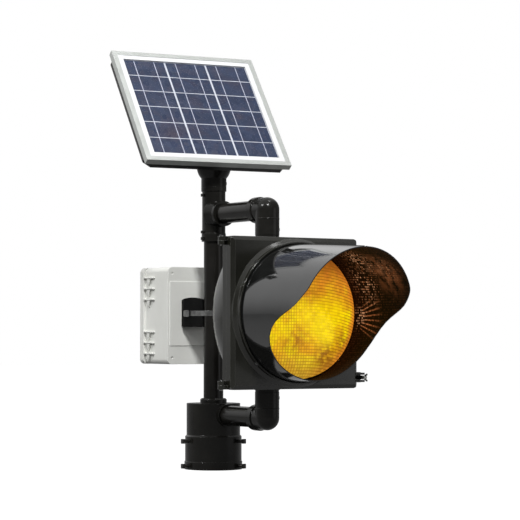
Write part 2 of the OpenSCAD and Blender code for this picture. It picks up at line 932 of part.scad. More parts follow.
module reflector() {
    foot_y = lens_base_y + gasket_t;
    inner = [for (i = [0:reflector_steps])
        let (h = reflector_depth * pow(i / reflector_steps, 2)) [bowl_r(h), h]];
    outer = [for (i = [reflector_steps:-1:0])
        let (h = reflector_depth * pow(i / reflector_steps, 2)) [bowl_r(h) + reflector_wall, h]];
    color("#d5d6d4")
    translate([0, foot_y + reflector_depth, head_z])
        rotate([90, 0, 0]) {
            rotate_extrude($fn = fine)
                polygon(concat(inner, outer));
            translate([0, 0, reflector_depth - reflector_rim_t])
                difference() {
                    cylinder(h = reflector_rim_t, d = lens_flange_d - 2, $fn = fine);
                    translate([0, 0, -1])
                        cylinder(h = 4, d = reflector_d, $fn = fine);
                }
        }
}

holder_d = 46;

module lamp_holder() {
    apex_y = lens_base_y + gasket_t + reflector_depth;
    color("#e4e2da")
    translate([0, 0, head_z])
        difference() {
            union() {
                bar_y(holder_d - 4, apex_y - 10, apex_y);
                bar_y(holder_d + 16, apex_y, apex_y + 5);
                bar_y(holder_d - 10, apex_y + 5, apex_y + 26);
            }
            bar_y(28, apex_y - 11, apex_y + 14);
        }
}

module led_lamp() {
    apex_y = lens_base_y + gasket_t + reflector_depth;
    color("#f5c542")
    translate([0, apex_y - 32, head_z])
        rotate([-90, 0, 0]) {
            translate([0, 0, 0])
                cylinder(h = 4, d = 44);
            translate([0, 0, 4])
                cylinder(h = 18, d1 = 40, d2 = 28);
            translate([0, 0, 22])
                cylinder(h = 22, d = 26);
            for (i = [0:11])
                rotate([0, 0, i * 30])
                    translate([16, 0, -3])
                        cylinder(h = 3, d = 5);
            translate([0, 0, -3])
                cylinder(h = 3, d = 8);
        }
}

// Visor: a tapered tube cut away below, with a mouth that leans forward at the top
visor_foot_y = front_y;
visor_mouth_y = visor_foot_y - visor_len;
visor_tip_r = visor_tip_d / 2;

// Y of the mouth's plane at a height above the lamp's axis
function mouth_at(z) = visor_mouth_y + (visor_tip_r - z) * tan(visor_rake);

// Point of a cubic curve through four control points
function bezier(p, t) =
    pow(1 - t, 3) * p[0] + 3 * pow(1 - t, 2) * t * p[1] + 3 * (1 - t) * t * t * p[2] + pow(t, 3) * p[3];

// Side view of what is cut away: the mouth, a rounded nose and a long sweep down to the full ring
module visor_cut() {
    r = visor_base_d / 2;
    ring_y = visor_foot_y - visor_ring_len;
    knee = [visor_mouth_y + 0.163 * visor_len, 0.176 * r];
    nose = [[mouth_at(0.38 * r), 0.38 * r], [mouth_at(0.29 * r), 0.29 * r],
        knee + [-0.04 * visor_len, 0.07 * r], knee];
    sweep = [knee, [visor_mouth_y + 0.341 * visor_len, -0.125 * r],
        [ring_y - 0.045 * visor_len, 0.036 * r], [ring_y, -0.98 * r]];
    steps = 10;
    rotate([90, 0, 90])
        translate([0, 0, -visor_base_d])
            linear_extrude(2 * visor_base_d)
                polygon(concat(
                    [[mouth_at(2 * r), 2 * r]],
                    [for (i = [0:steps]) bezier(nose, i / steps)],
                    [for (i = [1:steps]) bezier(sweep, i / steps)],
                    [[ring_y, -2 * r], [visor_mouth_y - 2 * r, -2 * r], [visor_mouth_y - 2 * r, 2 * r]]));
}

module visor_shell(shrink) {
    past = shrink > 0 ? 1 : 0;
    slope = (visor_base_d - visor_tip_d) / visor_len;
    translate([0, visor_foot_y, 0])
        rotate([90, 0, 0])
            translate([0, 0, -past])
                cylinder(h = visor_len + 2 * past, d1 = visor_base_d - 2 * shrink + past * slope,
                    d2 = visor_tip_d - 2 * shrink - past * slope, $fn = fine);
}

visor_tab_y = front_y - door_ring_h + ring_straight / 2;

module visor_screw_places() {
    for (a = [45:90:315])
        rotate([0, a, 0])
            translate([0, visor_tab_y, visor_base_d / 2 - visor_wall - 4])
                children();
}

module visor() {
    color("#1f1e1c")
    translate([0, 0, head_z])
        difference() {
            visor_shell(0);
            visor_shell(visor_wall);
            visor_cut();
            visor_screw_places()
                cylinder(h = 12, d = 4);
        }
}

module visor_screws() {
    color("#8a8a86")
    translate([0, 0, head_z])
        for (a = [45:90:315])
            rotate([0, a, 0])
                translate([0, visor_tab_y, 0]) {
                    translate([0, 0, visor_base_d / 2 - visor_wall - 4])
                        cylinder(h = visor_screw_len, d = 3);
                    translate([0, 0, door_ring_d / 2])
                        cylinder(h = 2.6, d = visor_screw_head);
                }
}

module terminal_block() {
    w = terminal_pitch + 14;
    color("#d8d2c0")
    translate([0, terminal_y, head_z + terminal_z])
        difference() {
            union() {
                translate([-w / 2, -4, -14])
                    cube([w, 4, 28]);
                for (i = [0:4])
                    translate([-27.5 + i * 11 + 0.5, -18, -10])
                        cube([10, 14, 20]);
            }
            for (i = [0:4])
                translate([-27.5 + i * 11 + 5.5, 0, 0])
                    bar_y(5, -19, -10);
            for (x = [-1, 1])
                translate([x * terminal_pitch / 2, 0, 0])
                    bar_y(4, -5, 1);
        }
}

// Solar panel: drawn flat with its glass up, then tilted and turned to its place
module at_panel() {
    rotate([0, 0, panel_turn])
        translate([panel_side, panel_back, panel_z])
            rotate([panel_tilt, 0, 0])
                children();
}

// The panel's square frame profile with a lip over the glass and a foot flange
module panel_frame() {
    color("#c9cdcc")
    at_panel()
        difference() {
            translate([-panel_w / 2, -panel_l / 2, -panel_d])
                cube([panel_w, panel_l, panel_d]);
            translate([-panel_w / 2 + frame_lip, -panel_l / 2 + frame_lip, -panel_d - 1])
                cube([panel_w - 2 * frame_lip, panel_l - 2 * frame_lip, panel_d + 2]);
            translate([-panel_w / 2 + frame_wall, -panel_l / 2 + frame_wall, -lip_t - laminate_t])
                cube([panel_w - 2 * frame_wall, panel_l - 2 * frame_wall, laminate_t]);
            translate([-panel_w / 2 + frame_wall, -panel_l / 2 + frame_wall, -panel_d + frame_wall])
                cube([panel_w - 2 * frame_wall, panel_l - 2 * frame_wall,
                    panel_d - lip_t - laminate_t - 2 * frame_wall]);
            for (s = tray_screw_places())
                translate([s[0], s[1], -panel_d - 1])
                    cylinder(h = frame_wall + 2, d = 4);
        }
}

pane_gap = 0.5;

module pane(t, z) {
    w = panel_w - 2 * frame_wall - 2 * pane_gap;
    l = panel_l - 2 * frame_wall - 2 * pane_gap;
    translate([-w / 2, -l / 2, z])
        cube([w, l, t]);
}

glass_z = -lip_t - glass_t;

module panel_glass() {
    color("#dfe9f2", 0.3)
    at_panel()
        pane(glass_t, glass_z);
}

module solar_cells() {
    color("#2b3a7c")
    at_panel()
        for (i = [0:cell_cols - 1], j = [0:cell_rows - 1])
            translate([-cell_field_w / 2 + i * (cell_w + cell_col_gap),
                -cell_field_l / 2 + j * (cell_l + cell_row_gap), glass_z - cell_t])
                cube([cell_w, cell_l, cell_t]);
}

module panel_backsheet() {
    color("#f1f2f2")
    at_panel()
        pane(sheet_t, glass_z - cell_t - sheet_t);
}

module junction_box() {
    w = 90;
    l = 66;
    h = panel_d - lip_t - laminate_t + tray_d / 3;
    color("#26272a")
    at_panel()
        translate([0, 0.19 * panel_l, -lip_t - laminate_t - h])
            difference() {
                linear_extrude(h)
                    round_rect(w, l, 6);
                translate([0, 0, 2])
                    linear_extrude(h)
                        round_rect(w - 5, l - 5, 4);
            }
}

function tray_screw_places() = [for (x = [-1, 1], y = [-1, 1])
    [x * (panel_w / 2 - frame_wall - 6), y * (panel_l / 4)]];

module panel_tray() {
    w = panel_w - 2 * tray_inset;
    l = panel_l - 2 * tray_inset;
    lip = 10;
    color("#201f1f")
    at_panel()
        translate([0, 0, -panel_d - tray_d])
            difference() {
                linear_extrude(tray_d)
                    tray_outline(w, l, 16);
                translate([0, 0, 2])
                    linear_extrude(tray_d - 4)
                        tray_outline(w - 4, l - 4, 15);
                translate([0, 0, 2])
                    linear_extrude(tray_d)
                        tray_outline(w - 2 * lip - 4, l - 2 * lip - 4, 12);
                for (s = tray_screw_places())
                    translate([s[0], s[1], -1])
                        cylinder(h = tray_d + 2, d = 4);
                for (s = panel_bolt_places())
                    translate([s[0], s[1], -1])
                        cylinder(h = 4, d = 6.4);
            }
}

// A rectangle with its four corners cut off
module tray_outline(w, l, cut) {
    polygon([[-w / 2 + cut, -l / 2], [w / 2 - cut, -l / 2], [w / 2, -l / 2 + cut], [w / 2, l / 2 - cut],
        [w / 2 - cut, l / 2], [-w / 2 + cut, l / 2], [-w / 2, l / 2 - cut], [-w / 2, -l / 2 + cut]]);
}

module tray_screws() {
    color("#b9bab7")
    at_panel()
        for (s = tray_screw_places())
            translate([s[0], s[1], -panel_d - tray_d]) {
                translate([0, 0, -2.4])
                    cylinder(h = 2.4, d = 8);
                cylinder(h = tray_d + frame_wall + 3, d = 3.8);
            }
}

// Tilt bracket: a folded wedge between the post cap and the tray
bracket_w = 76;
bracket_t = 5;
bracket_back = 38;
cheek_back = 46;

// Height of the tray's underside at a distance behind the pole
function under_z(y) = panel_z - tray_drop / cos(panel_tilt) + (y - panel_back) * tan(panel_tilt);

// Distance behind the pole at which the tray's underside has a height
function under_y(z) = panel_back + (z - panel_z + tray_drop / cos(panel_tilt)) / tan(panel_tilt);

// Place along the panel's slope of a point of the tray's underside at a distance behind the pole
function slope_place(y) = (y - panel_back - tray_drop * sin(panel_tilt)) / cos(panel_tilt);

plate_front = under_y(cap_top + bracket_t) + 1;
wedge_front = under_y(cap_top + bracket_t / cos(panel_tilt)) + 1;
panel_bolt_pitch = 48;

function panel_bolt_places() = [for (x = [-1, 1], s = [0.3, 0.82])
    [x * panel_bolt_pitch / 2 - panel_side, slope_place(wedge_front + s * (cheek_back - wedge_front))]];

module tilt_bracket() {
    color("#232221")
    difference() {
        rotate([0, 0, panel_turn]) {
            translate([-bracket_w / 2, plate_front, cap_top])
                cube([bracket_w, bracket_back - plate_front, bracket_t]);
            for (x = [-bracket_w / 2, bracket_w / 2 - bracket_t])
                translate([x, 0, 0])
                    rotate([90, 0, 90])
                        linear_extrude(bracket_t)
                            polygon([[plate_front, cap_top], [bracket_back, cap_top],
                                [bracket_back, cap_top + 3 * bracket_t],
                                [cheek_back, under_z(cheek_back) - bracket_t], [cheek_back, under_z(cheek_back)],
                                [wedge_front, under_z(wedge_front)], [plate_front, cap_top + bracket_t]]);
            rotate([90, 0, 90])
                translate([0, 0, -bracket_w / 2])
                    linear_extrude(bracket_w)
                        polygon([[wedge_front, under_z(wedge_front)], [cheek_back, under_z(cheek_back)],
                            [cheek_back, under_z(cheek_back) - bracket_t / cos(panel_tilt)],
                            [wedge_front, under_z(wedge_front) - bracket_t / cos(panel_tilt)]]);
        }
        for (x = [-1, 1], y = [-1, 1])
            translate([x, y, 0] * cap_bolt_pitch / 2 + [0, 0, cap_top - 1])
                cylinder(h = bracket_t + 2, d = 6.4);
        translate([0, 0, cap_top - 1])
            cylinder(h = bracket_t + 2, d = 24);
        at_panel()
            for (s = panel_bolt_places())
                translate([s[0], s[1], -tray_drop - 20])
                    cylinder(h = 24, d = 6.4);
    }
}

module tilt_bracket_bolts() {
    color("#9c9c98")
    for (x = [-1, 1], y = [-1, 1])
        translate([x, y, 0] * cap_bolt_pitch / 2 + [0, 0, cap_top + bracket_t])
            hex_bolt(5, 18, 9, 4);
}

module panel_bolts() {
    color("#9c9c98")
    at_panel()
        for (s = panel_bolt_places())
            translate([s[0], s[1], -tray_drop + 2])
                hex_bolt(6, 10, 10, 4);
}

// Battery box: its closed end faces the pole and its cover faces away
module battery_case() {
    color("#c8c9c4")
    translate([0, 0, box_z])
        difference() {
            union() {
                difference() {
                    union() {
                        wall_plate(box_w, box_h, box_round, box_front, mouth_y);
                        wall_plate(box_w + 2 * flange_w, box_h, box_round, mouth_y - 8, mouth_y);
                        translate([0, 0, 0.02 * box_h])
                            wall_plate(box_w - 10, 0.66 * box_h, 3, box_front - 1.5, box_front + 1);
                        for (s = [0, 1])
                            mirror([s, 0, 0])
                                box_ribs();
                    }
                    wall_plate(box_w - 2 * box_wall, box_h - 2 * box_wall, box_round - box_wall,
                        box_front + box_wall, mouth_y + 1);
                }
                cover_screw_places()
                    bar_y(post_d, mouth_y - 24, mouth_y);
                plate_screw_places()
                    bar_y(post_d, box_front + 1, plate_y - plate_t);
            }
            cover_screw_places()
                bar_y(cover_screw_d, mouth_y - 16, mouth_y + 1);
            plate_screw_places()
                bar_y(cover_screw_d, box_front + box_wall, plate_y);
            for (x = [-1, 1], z = [-1, 1])
                translate([x * (box_w / 2 - 12), 0, z * (box_h / 2 - 16)])
                    bar_y(6, box_front - 3, box_front + 2);
            saddle_bolt_places()
                bar_y(5.4, box_front - 3, box_front + box_wall + 1);
            translate([gland_x, 0, gland_z - box_z])
                bar_y(gland_d + 0.4, box_front - 3, box_front + box_wall + 1);
        }
}

// Six ledges a side, each with a web that tapers down to the wall
module box_ribs() {
    for (z = [-3.5, -2.5, -1.5, 1.5, 2.5, 3.5])
        translate([-box_w / 2, mouth_y - 8, z * rib_pitch]) {
            translate([-flange_w, -rib_len + 8, -1.5])
                cube([flange_w + 1, rib_len, 3]);
            translate([-flange_w + 1, -rib_len / 2 + 6, -1.5])
                rotate([0, 90, 0])
                    linear_extrude(flange_w)
                        polygon([[0, -9], [18, 0], [0, 9]]);
        }
}

box_round = 12;
cover_screw_d = 4;
cover_screw_in = 9;
post_d = 11;
cover_step = 3;

module plate_screw_places() {
    for (x = [-1, 1], z = [-1, 1])
        translate([x * (box_w / 2 - 18), 0, z * (box_h / 2 - 18)])
            children();
}

module cover_screw_places() {
    for (x = [-1, 1], z = [-1, 1])
        translate([x * (box_w / 2 - cover_screw_in), 0, z * (box_h / 2 - cover_screw_in)])
            children();
}

module case_cover() {
    color("#c8c9c4")
    translate([0, 0, box_z])
        difference() {
            union() {
                difference() {
                    union() {
                        wall_plate(box_w + 2 * flange_w, box_h, box_round, mouth_y, mouth_y + 10);
                        wall_plate(box_w, box_h, box_round, mouth_y, box_rear - cover_step);
                        wall_plate(box_w - 16, box_h - 16, box_round - 4, mouth_y, box_rear);
                    }
                    wall_plate(box_w - 2 * box_wall, box_h - 2 * box_wall, box_round - box_wall, mouth_y - 1,
                        box_rear - cover_step - box_wall);
                }
                cover_screw_places()
                    bar_y(post_d, mouth_y, box_rear - cover_step);
            }
            difference() {
                wall_plate(box_w, box_h, box_round, mouth_y - 1, mouth_y + gasket_t - 1);
                cover_screw_places()
                    bar_y(post_d, mouth_y - 2, mouth_y + gasket_t);
            }
            cover_screw_places() {
                bar_y(cover_screw_d + 0.4, mouth_y - 1, box_rear + 1);
                bar_y(10, box_rear - cover_step, box_rear + 1);
            }
        }
}

module cover_gasket() {
    color("#2a2a2a")
    translate([0, 0, box_z])
        difference() {
            wall_plate(box_w - 1, box_h - 1, box_round - 0.5, mouth_y, mouth_y + gasket_t - 1);
            wall_plate(box_w - 2 * box_wall + 1, box_h - 2 * box_wall + 1, box_round - box_wall + 0.5,
                mouth_y - 1, mouth_y + gasket_t);
            cover_screw_places()
                bar_y(post_d + 2 * hole_gap, mouth_y - 1, mouth_y + gasket_t);
        }
}

module cover_screws() {
    color("#b3b4b0")
    translate([0, 0, box_z])
        cover_screw_places() {
            bar_y(cover_screw_d, mouth_y - 14, box_rear - cover_step);
            bar_y(8.5, box_rear - cover_step, box_rear - 0.5);
        }
}

battery_w = 98;
battery_h = 151;
battery_d = 65;
plate_t = 2;
plate_y = box_front + box_wall + 8;
battery_z = box_z - box_h / 2 + box_wall + battery_h / 2 + 4;

module mounting_plate() {
    color("#b9bcbb")
    difference() {
        translate([0, 0, box_z])
            wall_plate(box_w - 2 * box_wall - 8, box_h - 2 * box_wall - 8, 3, plate_y - plate_t, plate_y);
        translate([0, 0, box_z])
            plate_screw_places()
                bar_y(cover_screw_d + 0.4, plate_y - 3, plate_y + 1);
        translate([0, 0, box_z])
            saddle_bolt_places()
                bar_y(12, plate_y - 3, plate_y + 1);
        translate([gland_x, 0, gland_z])
            bar_y(gland_d + 8, plate_y - 3, plate_y + 1);
    }
}

module plate_screws() {
    color("#b3b4b0")
    translate([0, 0, box_z])
        plate_screw_places() {
            bar_y(cover_screw_d, box_front + box_wall, plate_y);
            bar_y(8, plate_y, plate_y + 2.5);
        }
}

module battery() {
    color("#3b3e44")
    translate([-battery_w / 2, plate_y, battery_z - battery_h / 2]) {
        cube([battery_w, battery_d, battery_h - 4]);
        translate([3, 3, battery_h - 4])
            cube([battery_w - 6, battery_d - 6, 4]);
        for (x = [0.12, 0.82] * battery_w)
            translate([x, battery_d / 2 - 1, battery_h])
                cube([6, 2, 6]);
    }
}

clamp_w = 18;
clamp_foot = 14;
clamp_t = 1.5;

module battery_clamp() {
    w = battery_w + 1;
    color("#9b9d9c")
    translate([0, plate_y, battery_z])
        difference() {
            translate([-w / 2 - clamp_foot, 0, -clamp_w / 2])
                cube([w + 2 * clamp_foot, battery_d + 2 * clamp_t, clamp_w]);
            translate([-w / 2, -1, -clamp_w / 2 - 1])
                cube([w, battery_d + clamp_t, clamp_w + 2]);
            for (s = [0, 1])
                mirror([s, 0, 0])
                    translate([w / 2 + clamp_t, clamp_t, -clamp_w / 2 - 1])
                        cube([clamp_foot, battery_d + 2 * clamp_t, clamp_w + 2]);
        }
}

module charge_controller() {
    w = 96;
    h = 44;
    z = box_z + box_h / 2 - box_wall - 10 - h;
    color("#2f5d48")
    translate([-w / 2, plate_y, z])
        difference() {
            union() {
                cube([w, 5, h]);
                translate([6, 5, 10])
                    cube([w - 12, 22, h - 14]);
                for (i = [0:5])
                    translate([8 + i * 14, 5, 1])
                        cube([10, 12, 9]);
            }
            for (i = [0:5])
                translate([13 + i * 14, 11, -1])
                    cylinder(h = 6, d = 5);
        }
}

gland_d = 16;
gland_x = 45;
gland_z = box_z - 0.31 * box_h;

module cable_gland() {
    color("#27272a")
    difference() {
        translate([gland_x, box_front, gland_z])
            rotate([90, 0, 0]) {
                translate([0, 0, 1.5])
                    cylinder(h = 6, d = 22 / cos(30), $fn = 6);
                translate([0, 0, 7.5])
                    cylinder(h = 13, d1 = 22, d2 = 17);
                translate([0, 0, -box_wall - 5])
                    cylinder(h = box_wall + 10, d = gland_d);
                translate([0, 0, -box_wall - 4])
                    cylinder(h = 4, d = 21 / cos(30), $fn = 6);
            }
        translate([gland_x, 0, gland_z])
            bar_y(8, box_front - 30, box_front + 20);
    }
}

// Saddle and band that hold the box to the pole tube
saddle_back = box_front - 1.5;
saddle_plate = 6;
cheek_t = 7;
cheek_lean = 13.6;
cheek_front = 8;
strap_back = saddle_back - saddle_plate - 6;
strap_r = tube_od / 2 + slip_gap;

// X at a depth of the line that touches a circle round the pole and leans out towards the box
function lean_x(r, y) = (r + y * sin(cheek_lean)) / cos(cheek_lean);

// Plan of a loop: an arc round the pole's front, two leaning sides and a straight back
module loop_plan(r, back) {
    steps = 24;
    polygon(concat(
        [for (i = [0:steps]) let (a = 180 + cheek_lean + i * (180 - 2 * cheek_lean) / steps)
            [r * cos(a), r * sin(a)]],
        [[lean_x(r, back), back], [-lean_x(r, back), back]]));
}

module saddle_bolt_places() {
    for (x = [-1, 1], z = [-1, 1])
        translate([x * (saddle_w / 2 - 14), 0, saddle_z - box_z + z * (saddle_h / 2 - 11)])
            children();
}

// Side view of the cheeks, with a low arch along the top
module saddle_side() {
    rise = 6;
    span = saddle_back - cheek_front;
    arc = bend_radius(rise, span / 2);
    intersection() {
        translate([cheek_front, -saddle_h / 2])
            square([span, saddle_h + rise]);
        translate([cheek_front + span / 2, saddle_h / 2 + rise - arc])
            circle(arc, $fn = 2 * fine);
    }
}

module pole_saddle() {
    r = strap_r - hole_gap;
    color("#1c1c1c")
    translate([0, 0, saddle_z])
        difference() {
            intersection() {
                translate([0, 0, -saddle_h])
                    linear_extrude(2 * saddle_h)
                        difference() {
                            intersection() {
                                loop_plan(r, saddle_back);
                                translate([-saddle_w / 2, 0])
                                    square([saddle_w, saddle_back]);
                            }
                            difference() {
                                loop_plan(r - cheek_t, saddle_back - saddle_plate);
                                translate([saddle_w / 2 - cheek_t, 0])
                                    square([saddle_w, saddle_back]);
                                translate([-saddle_w * 1.5 + cheek_t, 0])
                                    square([saddle_w, saddle_back]);
                            }
                        }
                rotate([90, 0, 90])
                    translate([0, 0, -saddle_w])
                        linear_extrude(2 * saddle_w)
                            saddle_side();
            }
            translate([0, 0, -saddle_h])
                cylinder(h = 2 * saddle_h, d = tube_od + 2 * slip_gap);
            translate([0, 0, -strap_w / 2 - 0.4])
                linear_extrude(strap_w + 0.8)
                    difference() {
                        loop_plan(strap_r + strap_t + 0.4, strap_back + strap_t + 0.4);
                        loop_plan(strap_r - 0.4, strap_back - 0.4);
                    }
            translate([0, 0, box_z - saddle_z])
                saddle_bolt_places()
                    bar_y(5.4, saddle_back - 20, saddle_back + 1);
        }
}

module band_strap() {
    color("#c9ccce")
    translate([0, 0, saddle_z - strap_w / 2])
        linear_extrude(strap_w)
            difference() {
                loop_plan(strap_r + strap_t, strap_back + strap_t);
                loop_plan(strap_r, strap_back);
            }
}

buckle_l = 16;

module band_buckle() {
    y = strap_back - buckle_l - 6;
    color("#b7babc")
    translate([-lean_x(strap_r + strap_t, y), y, saddle_z])
        rotate([0, 0, cheek_lean])
            translate([-4, 0, -strap_w / 2 - 1.5])
                cube([4, buckle_l, strap_w + 3]);
}

module saddle_bolts() {
    color("#9c9c98")
    translate([0, 0, box_z])
        saddle_bolt_places() {
            bar_y(5, saddle_back - saddle_plate - 4, box_front + box_wall + 4);
            translate([0, saddle_back - saddle_plate, 0])
                rotate([90, 0, 0])
                    cylinder(h = 4, d = 8 / cos(30), $fn = 6);
            bar_y(9, box_front + box_wall, box_front + box_wall + 4);
        }
}

pole_collar();
collar_screws_upper();
collar_screws_lower();
pole_tube();
pole_tee();
tee_screws();
post_cap();
post_cap_screws();
upper_arm_tube();
lower_arm_tube();
upper_elbow();
lower_elbow();
elbow_screws();
hub_rings();
hub_nipples();
hub_locknuts();
lamp_housing();
door_frame();
door_gasket();
hinge_pins();
wing_screws();
lens();
lens_gasket();
lens_clips();
clip_screws();
reflector();
lamp_holder();
led_lamp();
visor();
visor_screws();
terminal_block();
panel_frame();
panel_glass();
solar_cells();
panel_backsheet();
junction_box();
panel_tray();
tray_screws();
tilt_bracket();
tilt_bracket_bolts();
panel_bolts();
battery_case();
case_cover();
cover_gasket();
cover_screws();
battery();
battery_clamp();
charge_controller();
mounting_plate();
plate_screws();
cable_gland();
pole_saddle();
saddle_bolts();
band_strap();
band_buckle();
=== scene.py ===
import bpy
import bmesh
import json
import math
from mathutils import Matrix, Vector


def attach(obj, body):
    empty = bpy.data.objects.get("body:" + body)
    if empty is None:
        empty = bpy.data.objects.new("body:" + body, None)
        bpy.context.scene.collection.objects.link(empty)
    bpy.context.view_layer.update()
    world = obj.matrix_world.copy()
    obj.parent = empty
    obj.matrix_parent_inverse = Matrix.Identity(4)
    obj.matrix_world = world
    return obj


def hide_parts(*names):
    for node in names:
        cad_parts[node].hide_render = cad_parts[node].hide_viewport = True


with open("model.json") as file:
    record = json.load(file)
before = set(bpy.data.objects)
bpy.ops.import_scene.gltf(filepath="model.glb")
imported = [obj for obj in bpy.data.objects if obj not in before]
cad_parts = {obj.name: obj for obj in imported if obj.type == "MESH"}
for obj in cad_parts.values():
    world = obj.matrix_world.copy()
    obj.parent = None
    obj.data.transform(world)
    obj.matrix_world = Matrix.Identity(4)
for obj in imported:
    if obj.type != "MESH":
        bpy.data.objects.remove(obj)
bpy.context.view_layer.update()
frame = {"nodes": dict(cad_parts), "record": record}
nodes = frame["nodes"]
print("frame loaded,", len(nodes), "nodes")

# helpers for modelling

def clearSelection():
    if bpy.context.object and bpy.context.object.mode != "OBJECT":
        bpy.ops.object.mode_set(mode="OBJECT")
    bpy.ops.object.select_all(action="DESELECT")


def startPiece(name):
    # the primitive that was just added becomes the only selected object
    piece = bpy.context.object
    piece.name = name
    piece.data.name = name
    return piece


def editAll(piece):
    clearSelection()
    piece.select_set(True)
    bpy.context.view_layer.objects.active = piece
    bpy.ops.object.mode_set(mode="EDIT")
    bpy.ops.mesh.select_all(action="SELECT")


def applyModifier(piece, kind, **values):
    clearSelection()
    piece.select_set(True)
    bpy.context.view_layer.objects.active = piece
    modifier = piece.modifiers.new(kind.lower(), kind)
    for key, value in values.items():
        setattr(modifier, key, value)
    bpy.ops.object.modifier_apply(modifier=modifier.name)


def finishPiece(piece, body, material, smoothAngle, place):
    # bakes the place into the mesh, smooths it and hangs it on its body
    clearSelection()
    piece.select_set(True)
    bpy.context.view_layer.objects.active = piece
    piece.matrix_world = place
    bpy.ops.object.transform_apply(location=True, rotation=True, scale=True)
    bpy.ops.object.shade_smooth_by_angle(angle=math.radians(smoothAngle))
    piece.data.materials.clear()
    piece.data.materials.append(material)
    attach(piece, body)
    piece.select_set(False)


# camera

cameraLook = {
    "place": (-2.535992, -4.319557, 0.327681),
    "forward": (0.525338, 0.850117, 0.036339),
    "up": (-0.019897, -0.030421, 0.999339),
    "lens": 141.67,
    "sensor": 36,
    "farEnd": 60,
}


def makeCamera(look):
    clearSelection()
    bpy.ops.object.camera_add(location=look["place"])
    camera = bpy.context.object
    camera.name = "photoCamera"
    forward = Vector(look["forward"]).normalized()
    right = forward.cross(Vector(look["up"])).normalized()
    up = right.cross(forward)
    turn = Matrix((right, up, -forward)).transposed()
    camera.matrix_world = Matrix.Translation(look["place"]) @ turn.to_4x4()
    camera.data.lens = look["lens"]
    camera.data.sensor_width = look["sensor"]
    camera.data.clip_end = look["farEnd"]
    bpy.context.scene.camera = camera


makeCamera(cameraLook)

# helpers for node trees

rowLength = 8                   # nodes in a row of the editor
nodeStep = (240, -340)


def addNode(tree, kind, **values):
    node = tree.nodes.new(kind)
    row, column = divmod(len(tree.nodes), rowLength)
    node.location = (column * nodeStep[0], row * nodeStep[1])
    for key, value in values.items():
        setattr(node, key, value)
    return node


def feed(tree, socket, value):
    # value is a number, a colour or the output of another node
    if isinstance(value, tuple):
        socket.default_value = (*value, 1)
    elif isinstance(value, (int, float)):
        socket.default_value = value
    else:
        tree.links.new(value, socket)


def blendValue(tree, factor, first, second):
    mix = addNode(tree, "ShaderNodeMix", data_type="FLOAT")
    for place, value in ((0, factor), (2, first), (3, second)):
        feed(tree, mix.inputs[place], value)
    return mix.outputs[0]


def mixColour(tree, factor, first, second):
    mix = addNode(tree, "ShaderNodeMix", data_type="RGBA")
    for place, value in ((0, factor), (6, first), (7, second)):
        feed(tree, mix.inputs[place], value)
    return mix.outputs[2]


def compute(tree, kind, first, second=None, clamp=False):
    step = addNode(tree, "ShaderNodeMath", operation=kind, use_clamp=clamp)
    feed(tree, step.inputs[0], first)
    if second is not None:
        feed(tree, step.inputs[1], second)
    return step.outputs[0]


def rangeOf(tree, value, low, high, fromLow=0.0, fromHigh=1.0, smooth=False):
    # turns fromLow into low and fromHigh into high, and stays between them
    step = addNode(tree, "ShaderNodeMapRange")
    if smooth:
        step.interpolation_type = "SMOOTHSTEP"
    step.inputs["From Min"].default_value = fromLow
    step.inputs["From Max"].default_value = fromHigh
    step.inputs["To Min"].default_value = low
    step.inputs["To Max"].default_value = high
    tree.links.new(value, step.inputs["Value"])
    return step.outputs["Result"]


def objectPlace(tree):
    return addNode(tree, "ShaderNodeTexCoord").outputs["Object"]


def separate(tree, vector):
    node = addNode(tree, "ShaderNodeSeparateXYZ")
    tree.links.new(vector, node.inputs[0])
    return node.outputs


def combine(tree, **parts):
    node = addNode(tree, "ShaderNodeCombineXYZ")
    for axis, value in parts.items():
        tree.links.new(value, node.inputs[axis])
    return node.outputs[0]


def distanceTo(tree, place, centre):
    away = addNode(tree, "ShaderNodeVectorMath", operation="DISTANCE")
    tree.links.new(place, away.inputs[0])
    away.inputs[1].default_value = centre
    return away.outputs["Value"]


def scaleColour(tree, colour, factor):
    scaled = addNode(tree, "ShaderNodeVectorMath", operation="SCALE")
    tree.links.new(colour, scaled.inputs[0])
    feed(tree, scaled.inputs["Scale"], factor)
    return scaled.outputs["Vector"]


def spot(tree, place, centre, size):
    # 1 at the centre, falling to 0 at a distance of size
    return rangeOf(tree, distanceTo(tree, place, centre), 0.0, 1.0, size, 0.0, smooth=True)


def strongestSpot(tree, place, spots):
    # each spot has its centre, its size and how strong it is
    best = None
    for centre, size, power in spots:
        one = compute(tree, "MULTIPLY", spot(tree, place, centre, size), power)
        best = one if best is None else compute(tree, "MAXIMUM", best, one)
    return best


def noise(tree, place, scale, detail):
    cloud = addNode(tree, "ShaderNodeTexNoise")
    cloud.inputs["Scale"].default_value = scale
    cloud.inputs["Detail"].default_value = detail
    tree.links.new(place, cloud.inputs["Vector"])
    return cloud.outputs["Fac"]


def cloudMask(tree, place, scale, detail, low, high):
    # clouds of noise that begin at the value low and are full at high
    return rangeOf(tree, noise(tree, place, scale, detail), 0.0, 1.0, low, high)


def addBump(tree, height, strength, distance, shader, normal=None):
    bump = addNode(tree, "ShaderNodeBump")
    bump.inputs["Strength"].default_value = strength
    bump.inputs["Distance"].default_value = distance
    tree.links.new(height, bump.inputs["Height"])
    if normal is not None:
        tree.links.new(normal, bump.inputs["Normal"])
    tree.links.new(bump.outputs["Normal"], shader.inputs["Normal"])


# light and floor

